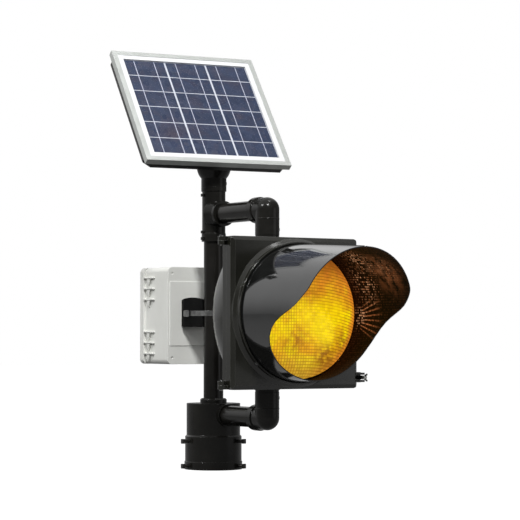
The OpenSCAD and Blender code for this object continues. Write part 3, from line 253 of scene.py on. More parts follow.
studioLook = {
    "worldFill": 0.33,          # what the white room gives to matt surfaces
    "dimShare": 0.20,           # how bright the room's dim side looks in gloss
    "brightShare": 1.05,
    "brightSide": (-0.20, 0.45, 0.87),  # above and behind the object
    "sideReach": (0.30, 0.76),  # from the dim side to the bright one
    "floorShade": (0.12, 0.12, 0.12),
    "floorLift": 0.98,          # added to what the camera sees, so the lit floor is white
    "floorGloss": 0.30,         # the same for what gloss sees
    "floorSize": 30,
    "floorDrop": 0.0005,        # keeps the collar's foot off the paper
    "middle": (0, -0.2, 0.5),
    "lamps": {
        "keyLamp": {"place": (-1.25, -3.1, 3.6), "power": 178, "size": 0.8},
        "topLamp": {"place": (0.5, -0.8, 3.6), "power": 12, "size": 0.5},
        "leftLamp": {"place": (-2.9, -0.3, 2.6), "power": 70, "size": 0.6},
        "rightLamp": {"place": (2.5, -2.8, 0.5), "power": 7, "size": 1.9},
    },
}


def addLamp(name, place, power, size, target):
    clearSelection()
    bpy.ops.object.light_add(type="AREA", location=place)
    lamp = bpy.context.object
    lamp.name = name
    lamp.data.energy = power
    lamp.data.shape = "DISK"
    lamp.data.size = size
    away = (Vector(place) - Vector(target)).normalized()
    lamp.rotation_mode = "QUATERNION"
    lamp.rotation_quaternion = away.to_track_quat("Z", "Y")


def makeStudio(look):
    scene = bpy.context.scene
    scene.view_settings.view_transform = "Standard"
    world = bpy.data.worlds.new("studioRoom")
    scene.world = world
    world.use_nodes = True
    tree = world.node_tree
    back = tree.nodes["Background"]
    back.inputs["Color"].default_value = (1, 1, 1, 1)
    # gloss sees a room with a bright side, the camera a white one
    path = addNode(tree, "ShaderNodeLightPath")
    ray = addNode(tree, "ShaderNodeTexCoord")
    facing = addNode(tree, "ShaderNodeVectorMath", operation="DOT_PRODUCT")
    tree.links.new(ray.outputs["Generated"], facing.inputs[0])
    facing.inputs[1].default_value = Vector(look["brightSide"]).normalized()
    share = rangeOf(tree, facing.outputs["Value"], look["dimShare"], look["brightShare"],
                    *look["sideReach"], smooth=True)
    strength = blendValue(tree, path.outputs["Is Glossy Ray"], look["worldFill"], share)
    strength = blendValue(tree, path.outputs["Is Transmission Ray"], strength, 1.0)
    strength = blendValue(tree, path.outputs["Is Camera Ray"], strength, 1.0)
    tree.links.new(strength, back.inputs["Strength"])

    for name, lamp in look["lamps"].items():
        addLamp(name, lamp["place"], lamp["power"], lamp["size"], look["middle"])

    clearSelection()
    bpy.ops.mesh.primitive_plane_add(size=look["floorSize"], location=(0, 0, -look["floorDrop"]))
    floor = startPiece("studioFloor")
    paper = bpy.data.materials.new("paperFloor")
    paper.use_nodes = True
    tree = paper.node_tree
    tree.nodes.clear()
    out = addNode(tree, "ShaderNodeOutputMaterial")
    matt = addNode(tree, "ShaderNodeBsdfDiffuse")
    matt.inputs["Color"].default_value = (*look["floorShade"], 1)
    lift = addNode(tree, "ShaderNodeEmission")
    path = addNode(tree, "ShaderNodeLightPath")
    seen = blendValue(tree, path.outputs["Is Glossy Ray"], 0.0, look["floorGloss"])
    seen = blendValue(tree, path.outputs["Is Transmission Ray"], seen, look["floorLift"])
    seen = blendValue(tree, path.outputs["Is Camera Ray"], seen, look["floorLift"])
    tree.links.new(seen, lift.inputs["Strength"])
    both = addNode(tree, "ShaderNodeAddShader")
    tree.links.new(matt.outputs[0], both.inputs[0])
    tree.links.new(lift.outputs[0], both.inputs[1])
    tree.links.new(both.outputs[0], out.inputs["Surface"])
    floor.data.materials.append(paper)


makeStudio(studioLook)
print("camera, lamps and floor made")

# shader groups that several finishes share

def newGroup(name, inputs, outputs):
    group = bpy.data.node_groups.new(name, "ShaderNodeTree")
    for title, kind, value in inputs:
        socket = group.interface.new_socket(title, in_out="INPUT", socket_type=kind)
        if value is not None:
            socket.default_value = value
    for title, kind in outputs:
        group.interface.new_socket(title, in_out="OUTPUT", socket_type=kind)
    start = addNode(group, "NodeGroupInput")
    end = addNode(group, "NodeGroupOutput")
    return group, start, end


grainLook = {
    "fine": (2.0, 0.5),             # detail and roughness of the noise
    "slow": (5.0, 0.62),
    "patchReach": (0.35, 0.68),     # noise values where a patch begins and is full
}


def makeGrain(look):
    # fine orange peel of powder coat and moulded plastic, with slow patches of dirt and polish
    group, start, end = newGroup(
        "coatGrain",
        [("Vector", "NodeSocketVector", None), ("Grain Size", "NodeSocketFloat", 900.0),
         ("Patch Size", "NodeSocketFloat", 14.0)],
        [("Height", "NodeSocketFloat"), ("Patch", "NodeSocketFloat")])
    fine = addNode(group, "ShaderNodeTexNoise")
    fine.inputs["Detail"].default_value, fine.inputs["Roughness"].default_value = look["fine"]
    slow = addNode(group, "ShaderNodeTexNoise")
    slow.inputs["Detail"].default_value, slow.inputs["Roughness"].default_value = look["slow"]
    link = group.links.new
    link(start.outputs["Vector"], fine.inputs["Vector"])
    link(start.outputs["Grain Size"], fine.inputs["Scale"])
    link(start.outputs["Vector"], slow.inputs["Vector"])
    link(start.outputs["Patch Size"], slow.inputs["Scale"])
    link(fine.outputs["Fac"], end.inputs["Height"])
    patch = rangeOf(group, slow.outputs["Fac"], 0.0, 1.0, *look["patchReach"])
    link(patch, end.inputs["Patch"])
    return group


def makeSoftEdge():
    # rounds sharp edges in the shading and gives a mask where an edge is
    group, start, end = newGroup(
        "softEdge",
        [("Radius", "NodeSocketFloat", 0.001), ("Width", "NodeSocketFloat", 0.12)],
        [("Normal", "NodeSocketVector"), ("Edge", "NodeSocketFloat")])
    bevel = addNode(group, "ShaderNodeBevel", samples=4)
    facing = addNode(group, "ShaderNodeNewGeometry")
    dot = addNode(group, "ShaderNodeVectorMath", operation="DOT_PRODUCT")
    link = group.links.new
    link(start.outputs["Radius"], bevel.inputs["Radius"])
    link(bevel.outputs["Normal"], dot.inputs[0])
    link(facing.outputs["Normal"], dot.inputs[1])
    miss = compute(group, "SUBTRACT", 1.0, dot.outputs["Value"])
    share = compute(group, "DIVIDE", miss, start.outputs["Width"], clamp=True)
    link(bevel.outputs["Normal"], end.inputs["Normal"])
    link(share, end.inputs["Edge"])
    return group


grainGroup = makeGrain(grainLook)
edgeGroup = makeSoftEdge()
print("shader groups made")

# finishes

def newMaterial(name):
    material = bpy.data.materials.new(name)
    material.use_nodes = True
    tree = material.node_tree
    return material, tree, tree.nodes["Principled BSDF"]


def coatedFinish(name, look):
    # one maker for powder coat, moulded plastic, rubber and plain metal
    material, tree, shader = newMaterial(name)
    grain = addNode(tree, "ShaderNodeGroup", node_tree=grainGroup)
    grain.inputs["Grain Size"].default_value = look["grainSize"]
    grain.inputs["Patch Size"].default_value = look["patchSize"]
    tree.links.new(objectPlace(tree), grain.inputs["Vector"])
    edge = addNode(tree, "ShaderNodeGroup", node_tree=edgeGroup)
    edge.inputs["Radius"].default_value = look["edgeRadius"]
    patch = grain.outputs["Patch"]
    # edges take a lighter colour: partly worn paint, partly a painted highlight where rounded
    # edges would catch the light
    wornEdgeAndHighlight = compute(tree, "MULTIPLY", edge.outputs["Edge"], look["wornEdgeAndHighlightShare"])
    colour = mixColour(tree, patch, look["colour"], look["patchColour"])
    colour = mixColour(tree, wornEdgeAndHighlight, colour, look["wornEdgeAndHighlightColour"])
    tree.links.new(colour, shader.inputs["Base Color"])
    tree.links.new(rangeOf(tree, patch, *look["rough"]), shader.inputs["Roughness"])
    shader.inputs["Metallic"].default_value = look.get("metal", 0.0)
    shader.inputs["Specular IOR Level"].default_value = look.get("shine", 0.5)
    addBump(tree, grain.outputs["Height"], look["grainStrength"], look["grainDepth"], shader,
            edge.outputs["Normal"])
    return material


# the edge colours stand for worn paint and for painted edge highlights together
finishLooks = {
    "blackCasting": {
        "colour": (0.0074, 0.0072, 0.0063), "patchColour": (0.0125, 0.0120, 0.0105),
        "wornEdgeAndHighlightColour": (0.035, 0.034, 0.032), "wornEdgeAndHighlightShare": 0.5, "edgeRadius": 0.0016,
        "rough": (0.13, 0.24), "grainSize": 420.0, "patchSize": 22.0,
        "grainStrength": 0.22, "grainDepth": 0.0005, "shine": 0.17},
    "blackPipe": {
        "colour": (0.0074, 0.0070, 0.0061), "patchColour": (0.0120, 0.0112, 0.0100),
        "wornEdgeAndHighlightColour": (0.035, 0.034, 0.032), "wornEdgeAndHighlightShare": 0.4, "edgeRadius": 0.001,
        "rough": (0.12, 0.21), "grainSize": 700.0, "patchSize": 16.0,
        "grainStrength": 0.14, "grainDepth": 0.0004, "shine": 0.17},
    "darkScrew": {
        "colour": (0.010, 0.010, 0.0095), "patchColour": (0.030, 0.028, 0.025),
        "wornEdgeAndHighlightColour": (0.10, 0.10, 0.095), "wornEdgeAndHighlightShare": 0.7, "edgeRadius": 0.0006,
        "rough": (0.26, 0.42), "grainSize": 1500.0, "patchSize": 90.0,
        "grainStrength": 0.2, "grainDepth": 0.0003, "metal": 0.4, "shine": 0.3},
    "zincSteel": {
        "colour": (0.46, 0.47, 0.45), "patchColour": (0.58, 0.58, 0.55),
        "wornEdgeAndHighlightColour": (0.7, 0.7, 0.7), "wornEdgeAndHighlightShare": 0.5, "edgeRadius": 0.0006,
        "rough": (0.30, 0.45), "grainSize": 700.0, "patchSize": 60.0,
        "grainStrength": 0.15, "grainDepth": 0.0003, "metal": 1.0},
    "stainlessSteel": {
        "colour": (0.22, 0.22, 0.217), "patchColour": (0.34, 0.34, 0.335),
        "wornEdgeAndHighlightColour": (0.8, 0.8, 0.8), "wornEdgeAndHighlightShare": 0.5, "edgeRadius": 0.0005,
        "rough": (0.14, 0.24), "grainSize": 1200.0, "patchSize": 70.0,
        "grainStrength": 0.12, "grainDepth": 0.0002, "metal": 1.0},
    "darkShell": {
        "colour": (0.0080, 0.0080, 0.0060), "patchColour": (0.0125, 0.0125, 0.0096),
        "wornEdgeAndHighlightColour": (0.075, 0.075, 0.068), "wornEdgeAndHighlightShare": 0.6, "edgeRadius": 0.0024,
        "rough": (0.11, 0.21), "grainSize": 700.0, "patchSize": 12.0,
        "grainStrength": 0.12, "grainDepth": 0.0005, "shine": 0.42},
    "gasketRubber": {
        "colour": (0.012, 0.012, 0.012), "patchColour": (0.02, 0.02, 0.02),
        "wornEdgeAndHighlightColour": (0.03, 0.03, 0.03), "wornEdgeAndHighlightShare": 0.2, "edgeRadius": 0.0006,
        "rough": (0.6, 0.75), "grainSize": 1200.0, "patchSize": 50.0,
        "grainStrength": 0.3, "grainDepth": 0.0003},
    "creamPlastic": {
        "colour": (0.66, 0.61, 0.5), "patchColour": (0.6, 0.55, 0.44),
        "wornEdgeAndHighlightColour": (0.75, 0.7, 0.6), "wornEdgeAndHighlightShare": 0.3, "edgeRadius": 0.0008,
        "rough": (0.4, 0.5), "grainSize": 900.0, "patchSize": 30.0,
        "grainStrength": 0.15, "grainDepth": 0.0003},
    "whiteSheet": {
        "colour": (0.56, 0.58, 0.64), "patchColour": (0.50, 0.52, 0.58),
        "wornEdgeAndHighlightColour": (0.9, 0.9, 0.9), "wornEdgeAndHighlightShare": 0.2, "edgeRadius": 0.0004,
        "rough": (0.4, 0.55), "grainSize": 1500.0, "patchSize": 20.0,
        "grainStrength": 0.1, "grainDepth": 0.0002},
    "blackPlastic": {
        "colour": (0.0020, 0.0021, 0.0021), "patchColour": (0.0042, 0.0042, 0.0042),
        "wornEdgeAndHighlightColour": (0.018, 0.018, 0.018), "wornEdgeAndHighlightShare": 0.3, "edgeRadius": 0.0008,
        "rough": (0.42, 0.55), "grainSize": 900.0, "patchSize": 40.0,
        "grainStrength": 0.25, "grainDepth": 0.0004, "shine": 0.06},
    "blackTray": {
        "colour": (0.008, 0.008, 0.0078), "patchColour": (0.014, 0.0135, 0.013),
        "wornEdgeAndHighlightColour": (0.04, 0.04, 0.038), "wornEdgeAndHighlightShare": 0.45, "edgeRadius": 0.0008,
        "rough": (0.30, 0.42), "grainSize": 900.0, "patchSize": 14.0,
        "grainStrength": 0.3, "grainDepth": 0.0004, "shine": 0.25},
    "anodisedFrame": {
        "colour": (0.41, 0.425, 0.41), "patchColour": (0.365, 0.38, 0.365),
        "wornEdgeAndHighlightColour": (0.80, 0.81, 0.80), "wornEdgeAndHighlightShare": 0.5, "edgeRadius": 0.0007,
        "rough": (0.34, 0.42), "grainSize": 1600.0, "patchSize": 30.0,
        "grainStrength": 0.06, "grainDepth": 0.0002, "metal": 0.25},
    "greyBox": {
        "colour": (0.71, 0.715, 0.68), "patchColour": (0.645, 0.65, 0.615),
        "wornEdgeAndHighlightColour": (0.90, 0.91, 0.88), "wornEdgeAndHighlightShare": 0.8, "edgeRadius": 0.0018,
        "rough": (0.42, 0.52), "grainSize": 800.0, "patchSize": 9.0,
        "grainStrength": 0.12, "grainDepth": 0.0004},
    "batteryShell": {
        "colour": (0.03, 0.032, 0.036), "patchColour": (0.045, 0.047, 0.052),
        "wornEdgeAndHighlightColour": (0.08, 0.08, 0.085), "wornEdgeAndHighlightShare": 0.3, "edgeRadius": 0.001,
        "rough": (0.45, 0.6), "grainSize": 900.0, "patchSize": 30.0,
        "grainStrength": 0.2, "grainDepth": 0.0004},
    "greenBoard": {
        "colour": (0.03, 0.11, 0.07), "patchColour": (0.04, 0.14, 0.09),
        "wornEdgeAndHighlightColour": (0.1, 0.2, 0.15), "wornEdgeAndHighlightShare": 0.3, "edgeRadius": 0.0005,
        "rough": (0.35, 0.5), "grainSize": 900.0, "patchSize": 60.0,
        "grainStrength": 0.2, "grainDepth": 0.0003},
    "silverRibbon": {
        "colour": (0.42, 0.44, 0.54), "patchColour": (0.50, 0.52, 0.62),
        "wornEdgeAndHighlightColour": (0.6, 0.62, 0.7), "wornEdgeAndHighlightShare": 0.2, "edgeRadius": 0.0002,
        "rough": (0.35, 0.5), "grainSize": 1200.0, "patchSize": 60.0,
        "grainStrength": 0.1, "grainDepth": 0.0001, "metal": 0.3},
    "brightAluminium": {
        "colour": (0.80, 0.80, 0.79), "patchColour": (0.74, 0.74, 0.73),
        "wornEdgeAndHighlightColour": (0.85, 0.85, 0.85), "wornEdgeAndHighlightShare": 0.3, "edgeRadius": 0.0005,
        "rough": (0.14, 0.24), "grainSize": 400.0, "patchSize": 30.0,
        "grainStrength": 0.1, "grainDepth": 0.0003, "metal": 1.0},
}
finishes = {name: coatedFinish(name, look) for name, look in finishLooks.items()}

# prism lens: its sizes, and its glow as a colour map round the lamp's middle

lensLook = {
    "middle": (0.0, 0.3765),        # x and z of the lamp's axis
    "foot": -0.371,                 # y where the dome leaves its flange
    "rise": 0.048,
    "radius": 0.151,
    "flangeRadius": 0.158,
    "flange": 0.003,
    "wall": 0.0028,
    "rings": 26,
    "ringEase": 1.4,                # packs the rings closer near the middle
    "turns": 144,
    "seed": 0.002,                  # size of the plane that the outline grows from
    "weld": 0.00002,
    "rib": 0.0070,                  # pitch of the prisms
    "ribDepth": 0.0005,
    "bow": 1.1,                     # how far the prism rows sag towards the right
    "bump": 0.4,
    "glow": 0.95,
    "hot": (1.0, 0.74, 0.002),
    "warm": (0.80, 0.39, 0.008),
    "deep": (0.72, 0.205, 0.020),
    "low": (0.58, 0.37, 0.028),
    "brown": (0.26, 0.095, 0.008),
    "visorShadeOnLens": (0.16, 0.040, 0.006),
    "skin": (0.30, 0.12, 0.003),
    "skinLine": (0.12, 0.035, 0.002),
    # metres from the middle where a colour begins and is full, and its share there
    "upReach": (-0.005, 0.085), "upShare": 0.85,
    "lowReach": (-0.085, -0.14),
    # painted shadow of the visor over the top of the lens
    "visorShadeReach": (0.070, 0.122), "visorShadeShare": 0.9,
    "edgeReach": (0.0, 0.09), "edgeShare": (0.1, 0.75),
    "rightReach": (-0.03, 0.05),
    "rimReach": (0.004, 0.09), "rimShare": 0.75,  # on a fall from 1 in the middle to 0 at the rim
    # places on the lens as x and height from its middle, reach, and how strong
    "hotSpots": (((0.045, -0.018), 0.080, 1.0), ((0.004, -0.008), 0.055, 0.9),
                 ((0.048, -0.052), 0.055, 0.95), ((0.084, 0.006), 0.045, 0.7),
                 ((-0.075, -0.045), 0.055, 0.45)),
    "brownSpots": (((-0.036, -0.066), 0.042, 0.75), ((0.056, -0.102), 0.056, 1.0),
                   ((0.102, -0.064), 0.042, 0.75), ((0.010, 0.045), 0.030, 0.35)),
    # noise: scale, detail, and the values where it begins and is full
    "patches": (30.0, 4.0, 0.42, 0.62),
    "specks": (85.0, 3.0, 0.34, 0.56),
    # how dark the prism lines are at the left and at the right, and over the hot spots
    "acrossLines": (0.62, 0.85),
    "uprightLines": (0.66, 0.12),
    "hotLines": 0.12,
    "cellVary": (0.86, 1.10),
    "rough": (0.16, 0.26),
    "shine": 0.18,
}

lineReach = (0.26, 0.48)            # parts of the pitch from a prism's middle to its dark edge


def makeRibs():
    # dark lines between the prisms, across and upright, which bow down towards the right edge
    group, start, end = newGroup(
        "prismRibs",
        [("Vector", "NodeSocketVector", None), ("Pitch", "NodeSocketFloat", 0.0070),
         ("Bow", "NodeSocketFloat", 1.1)],
        [("Height", "NodeSocketFloat"), ("Across", "NodeSocketFloat"),
         ("Upright", "NodeSocketFloat"), ("Cell", "NodeSocketFloat")])
    link = group.links.new
    axes = separate(group, start.outputs["Vector"])
    right = compute(group, "MAXIMUM", axes["X"], 0.0)
    bow = compute(group, "MULTIPLY", compute(group, "MULTIPLY", right, right),
                  start.outputs["Bow"])
    waves, cells, lines = [], [], []
    for source in (axes["X"], compute(group, "ADD", axes["Z"], bow)):
        steps = compute(group, "DIVIDE", source, start.outputs["Pitch"])
        centred = compute(group, "SUBTRACT", compute(group, "FRACT", steps), 0.5)
        folded = compute(group, "ABSOLUTE", centred)
        waves.append(folded)
        cells.append(compute(group, "FLOOR", steps))
        lines.append(rangeOf(group, folded, 0.0, 1.0, *lineReach, smooth=True))
    high = compute(group, "SUBTRACT", 1.0, compute(group, "ADD", *waves))
    spread = addNode(group, "ShaderNodeTexWhiteNoise", noise_dimensions="3D")
    link(combine(group, X=cells[0], Z=cells[1]), spread.inputs["Vector"])
    link(high, end.inputs["Height"])
    link(lines[1], end.inputs["Across"])
    link(lines[0], end.inputs["Upright"])
    link(spread.outputs["Value"], end.inputs["Cell"])
    return group


ribGroup = makeRibs()


def lensSpots(look, spots):
    midX, midZ = look["middle"]
    return [((midX + x, 0, midZ + up), size, power) for (x, up), size, power in spots]


def aroundMiddle(middle, reach):
    return [middle + part for part in reach]


def lensFinish(look):
    material, tree, shader = newMaterial("amberLens")
    place = objectPlace(tree)
    axes = separate(tree, place)
    flat = combine(tree, X=axes["X"], Z=axes["Z"])
    midX, midZ = look["middle"]
    ribs = addNode(tree, "ShaderNodeGroup", node_tree=ribGroup)
    ribs.inputs["Pitch"].default_value = look["rib"]
    ribs.inputs["Bow"].default_value = look["bow"]
    tree.links.new(place, ribs.inputs["Vector"])
    # where the lamp behind shows through: bright yellow, orange above, olive yellow below
    up = rangeOf(tree, axes["Z"], 0.0, look["upShare"], *aroundMiddle(midZ, look["upReach"]))
    down = rangeOf(tree, axes["Z"], 0.0, 1.0, *aroundMiddle(midZ, look["lowReach"]))
    # painted shadow of the visor: the lens turns deep brown towards its top
    visorShadeOnLens = rangeOf(tree, axes["Z"], 0.0, look["visorShadeShare"],
                    *aroundMiddle(midZ, look["visorShadeReach"]))
    side = rangeOf(tree, axes["X"], *look["edgeShare"], *aroundMiddle(midX, look["edgeReach"]))
    fromRim = spot(tree, flat, (midX, 0, midZ), look["radius"])
    rim = rangeOf(tree, fromRim, 1.0, 0.0, *look["rimReach"])
    patch = cloudMask(tree, place, *look["patches"])
    hot = strongestSpot(tree, flat, lensSpots(look, look["hotSpots"]))
    brown = compute(tree, "MULTIPLY",
                    strongestSpot(tree, flat, lensSpots(look, look["brownSpots"])),
                    cloudMask(tree, place, *look["specks"]))
    colour = mixColour(tree, patch, look["warm"], look["hot"])
    colour = mixColour(tree, up, colour, look["deep"])
    colour = mixColour(tree, compute(tree, "MULTIPLY", rim, look["rimShare"]), colour,
                       look["deep"])
    colour = mixColour(tree, down, colour, look["low"])
    colour = mixColour(tree, hot, colour, look["hot"])
    colour = mixColour(tree, compute(tree, "MULTIPLY", rim, side), colour, look["deep"])
    colour = mixColour(tree, visorShadeOnLens, colour, look["visorShadeOnLens"])
    colour = mixColour(tree, brown, colour, look["brown"])
    # across lines rule the right side, a square grid the left
    right = rangeOf(tree, axes["X"], 0.0, 1.0, *aroundMiddle(midX, look["rightReach"]))
    across = compute(tree, "MULTIPLY", ribs.outputs["Across"],
                     blendValue(tree, right, *look["acrossLines"]))
    upright = compute(tree, "MULTIPLY", ribs.outputs["Upright"],
                      blendValue(tree, right, *look["uprightLines"]))
    lines = compute(tree, "MULTIPLY", compute(tree, "MAXIMUM", across, upright),
                    rangeOf(tree, hot, 1.0, look["hotLines"]))
    colour = mixColour(tree, lines, colour, look["brown"])
    light = compute(tree, "MULTIPLY", rangeOf(tree, ribs.outputs["Cell"], *look["cellVary"]),
                    look["glow"])
    tree.links.new(scaleColour(tree, colour, light), shader.inputs["Emission Color"])
    shader.inputs["Emission Strength"].default_value = 1.0
    skin = mixColour(tree, lines, look["skin"], look["skinLine"])
    tree.links.new(skin, shader.inputs["Base Color"])
    tree.links.new(rangeOf(tree, patch, *look["rough"]), shader.inputs["Roughness"])
    shader.inputs["Specular IOR Level"].default_value = look["shine"]
    addBump(tree, ribs.outputs["Height"], look["bump"], look["ribDepth"], shader)
    return material


finishes["amberLens"] = lensFinish(lensLook)

# visor: glossy black outside; inside, a dark brown tint and sparks, all painted amber light from
# the lens

visorLook = {
    "axisZ": 0.3765,
    "footY": -0.374,
    "length": 0.282,
    "footRadius": 0.159,
    "tipRadius": 0.1435,
    "insideDepth": 0.0020,          # deeper than this below the outer face is the inside
    "rollRadius": 0.1505,           # the wall is rolled flat at this radius
    "outside": (0.0042, 0.0044, 0.0044),
    "outsideSmear": (0.00756, 0.00792, 0.00792),
    # painted amber light from the lens: the black inside wall is tinted dark brown
    "inside": (0.0095, 0.0052, 0.0034),
    "dotPitch": 0.0060,
    "dotUneven": 0.18,
    "dotReach": (0.14, 0.40),       # where a dot's edge begins to fade and ends, in cells
    "dotLively": (0.25, 0.90),      # the dimmest dots are off and the liveliest full
    "dotRest": 0.05,                # what dots have outside the spots
    "dotNear": (1.0, 0.54, 0.28),
    "dotFar": (0.42, 0.12, 0.035),
    "dotGlow": 1.25,
    # round the wall and along it in metres, reach, and how strong
    "dotSpots": (((0.094, 0.118, 0), 0.075, 0.8), ((0.168, 0.080, 0), 0.075, 0.8),
                 ((0.245, 0.034, 0), 0.040, 0.9), ((0.120, 0.200, 0), 0.060, 0.35)),
    "fanPlace": (0.247, -0.022, 0),  # where the streaks would meet, behind the lens
    "fanStep": 0.105,               # radians between streaks
    "fanReach": (0.060, 0.072),     # streaks start and are full
    "fanFade": (0.092, 0.155),      # and fade and end
    "fanWidth": (0.264, 0.44),
    "fanLine": (0.05, 0.20),
    "fanClouds": (170.0, 2.0, 0.36, 0.60),
    "fanGlow": 1.0,
    "warmPlace": (0.135, 0.190, 0),  # a faint glow with dark clouds in it
    "warmReach": 0.085,
    "warmClouds": (42.0, 3.0, 0.40, 0.62),
    "warmGlow": 0.30,
    "smear": (18.0, 4.0, 0.35, 0.68),
    "gloss": (0.07, 0.13),
    "insideRough": 0.78,
    "shine": 0.12,
    "coatRough": 0.06,
    "flowLines": (11.0, 1.0),
    "pebble": 0.5,
    "bump": 0.5,
    "bumpDepth": 0.0012,
}


def visorFinish(look):
    # glossy outside; inside, dots and a fan of streaks that the prisms throw on the wall
    material, tree, shader = newMaterial("visorBlack")
    place = objectPlace(tree)
    axes = separate(tree, place)
    high = compute(tree, "SUBTRACT", axes["Z"], look["axisZ"])
    square = compute(tree, "ADD", compute(tree, "MULTIPLY", axes["X"], axes["X"]),
                     compute(tree, "MULTIPLY", high, high))
    outer = rangeOf(tree, axes["Y"], look["footRadius"], look["tipRadius"],
                    look["footY"], look["footY"] - look["length"])
    deep = compute(tree, "SUBTRACT", outer, compute(tree, "SQRT", square))
    inside = compute(tree, "GREATER_THAN", deep, look["insideDepth"])
    # the wall rolled flat: round it in metres from the top, the same on both sides, and along it
    turn = compute(tree, "ARCTAN2", compute(tree, "ABSOLUTE", axes["X"]), high)
    girth = compute(tree, "MULTIPLY", turn, look["rollRadius"])
    along = compute(tree, "SUBTRACT", look["footY"], axes["Y"])
    wall = combine(tree, X=girth, Y=along)
    cells = addNode(tree, "ShaderNodeTexVoronoi", voronoi_dimensions="2D")
    cells.inputs["Scale"].default_value = 1 / look["dotPitch"]
    cells.inputs["Randomness"].default_value = look["dotUneven"]
    tree.links.new(wall, cells.inputs["Vector"])
    own = separate(tree, cells.outputs["Color"])
    dots = compute(tree, "MULTIPLY",
                   rangeOf(tree, cells.outputs["Distance"], 1.0, 0.0, *look["dotReach"]),
                   rangeOf(tree, own["X"], 0.0, 1.0, *look["dotLively"]))
    near = compute(tree, "ADD", strongestSpot(tree, wall, look["dotSpots"]), look["dotRest"])
    dots = compute(tree, "MULTIPLY", dots, near)
    # streaks
    aside = compute(tree, "SUBTRACT", girth, look["fanPlace"][0])
    ahead = compute(tree, "SUBTRACT", along, look["fanPlace"][1])
    heading = compute(tree, "ARCTAN2", aside, ahead)
    part = compute(tree, "FRACT", compute(tree, "DIVIDE", heading, look["fanStep"]))
    ray = compute(tree, "ABSOLUTE", compute(tree, "SUBTRACT", part, 0.5))
    ray = rangeOf(tree, ray, 1.0, 0.0, *look["fanLine"])
    reach = distanceTo(tree, wall, look["fanPlace"])
    start = rangeOf(tree, reach, 0.0, 1.0, *look["fanReach"])
    fade = rangeOf(tree, reach, 1.0, 0.0, *look["fanFade"])
    forward = rangeOf(tree, compute(tree, "ABSOLUTE", heading), 1.0, 0.0, *look["fanWidth"])
    fan = compute(tree, "MULTIPLY", compute(tree, "MULTIPLY", ray, start),
                  compute(tree, "MULTIPLY", fade, forward))
    fan = compute(tree, "MULTIPLY", fan, cloudMask(tree, wall, *look["fanClouds"]))
    fan = compute(tree, "MULTIPLY", fan, look["fanGlow"])
    haze = compute(tree, "MULTIPLY", spot(tree, wall, look["warmPlace"], look["warmReach"]),
                   cloudMask(tree, wall, *look["warmClouds"]))
    light = compute(tree, "ADD", compute(tree, "MULTIPLY", dots, look["dotGlow"]), fan)
    light = compute(tree, "ADD", compute(tree, "MULTIPLY", haze, look["warmGlow"]), light)
    light = compute(tree, "MULTIPLY", light, inside)
    spark = mixColour(tree, compute(tree, "MULTIPLY", near, own["Y"]),
                      look["dotFar"], look["dotNear"])
    tree.links.new(scaleColour(tree, spark, light), shader.inputs["Emission Color"])
    shader.inputs["Emission Strength"].default_value = 1.0
    smear = cloudMask(tree, place, *look["smear"])
    outside = mixColour(tree, smear, look["outside"], look["outsideSmear"])
    # the inside's dark brown is painted amber light on the black plastic
    tree.links.new(mixColour(tree, inside, outside, look["inside"]), shader.inputs["Base Color"])
    rough = blendValue(tree, inside, rangeOf(tree, smear, *look["gloss"]), look["insideRough"])
    tree.links.new(rough, shader.inputs["Roughness"])
    shader.inputs["Specular IOR Level"].default_value = look["shine"]
    shader.inputs["Coat Roughness"].default_value = look["coatRough"]
    tree.links.new(blendValue(tree, inside, 1.0, 0.0), shader.inputs["Coat Weight"])
    # pebbled inside, faint flow lines outside
    pebble = compute(tree, "MULTIPLY", cells.outputs["Distance"], look["pebble"])
    height = blendValue(tree, inside, noise(tree, place, *look["flowLines"]), pebble)
    addBump(tree, height, look["bump"], look["bumpDepth"], shader)
    return material


finishes["visorBlack"] = visorFinish(visorLook)

# solar cells and the pane over them

panelLook = {
    "tilt": 52.0,
    "turn": -5.0,
    "middle": (-0.022, 0.027, 0.8853),
    "width": 0.386,
    "height": 0.364,
    "lip": 0.013,
    "margin": 0.014,                # white sheet between the lip and the cells
    "columns": 3,
    "columnGap": 0.005,
    "blue": (0.023, 0.033, 0.072),
    "blueDark": (0.018, 0.026, 0.056),
    "violet": (0.030, 0.031, 0.058),
    "violetReach": (0.5, 1.0),
    "violetShare": 0.8,
    "dusk": (0.040, 0.032, 0.050),
    "duskClouds": (9.0, 3.0, 0.52, 0.70),
    "crystals": 70.0,
    "cellRough": (0.22, 0.42),
    "cellShine": 0.16,
    "finger": (0.085, 0.10, 0.165),
    "fingerPitch": 0.0026,
    "fingerReach": (0.45, 0.48),
    "fingerShare": 0.45,
    "busPlaces": (0.25, 0.75),      # across a cell
    "busWidth": 0.0018,
    "busOverlap": 0.006,
    "busLift": -0.00415,
    "busThick": 0.00012,
    "marginWhite": (0.66, 0.665, 0.68),
    "marginReach": (0.0008, 0.0014),
    "smear": (18.0, 4.0),
    "paneRough": (0.03, 0.10),
    "paneTint": (0.20, 0.25, 0.34),
    "paneShine": 0.3,
    "veil": (0.02, 0.05),           # how much of the glass shows over the cells
}


def panelPlace(look):
    return (Matrix.Rotation(math.radians(look["turn"]), 4, "Z")
            @ Matrix.Translation(look["middle"])
            @ Matrix.Rotation(math.radians(look["tilt"]), 4, "X"))


def panelAxes(tree, place, look):
    # x along the panel's width and y along its height, from its middle
    panel = panelPlace(look)
    local = addNode(tree, "ShaderNodeMapping", vector_type="TEXTURE")
    local.inputs["Location"].default_value = panel.to_translation()
    local.inputs["Rotation"].default_value = panel.to_euler()
    tree.links.new(place, local.inputs["Vector"])
    return separate(tree, local.outputs["Vector"])


def fieldSize(look):
    # width and height of the field of cells
    border = 2 * look["lip"] + 2 * look["margin"]
    return look["width"] - border, look["height"] - border


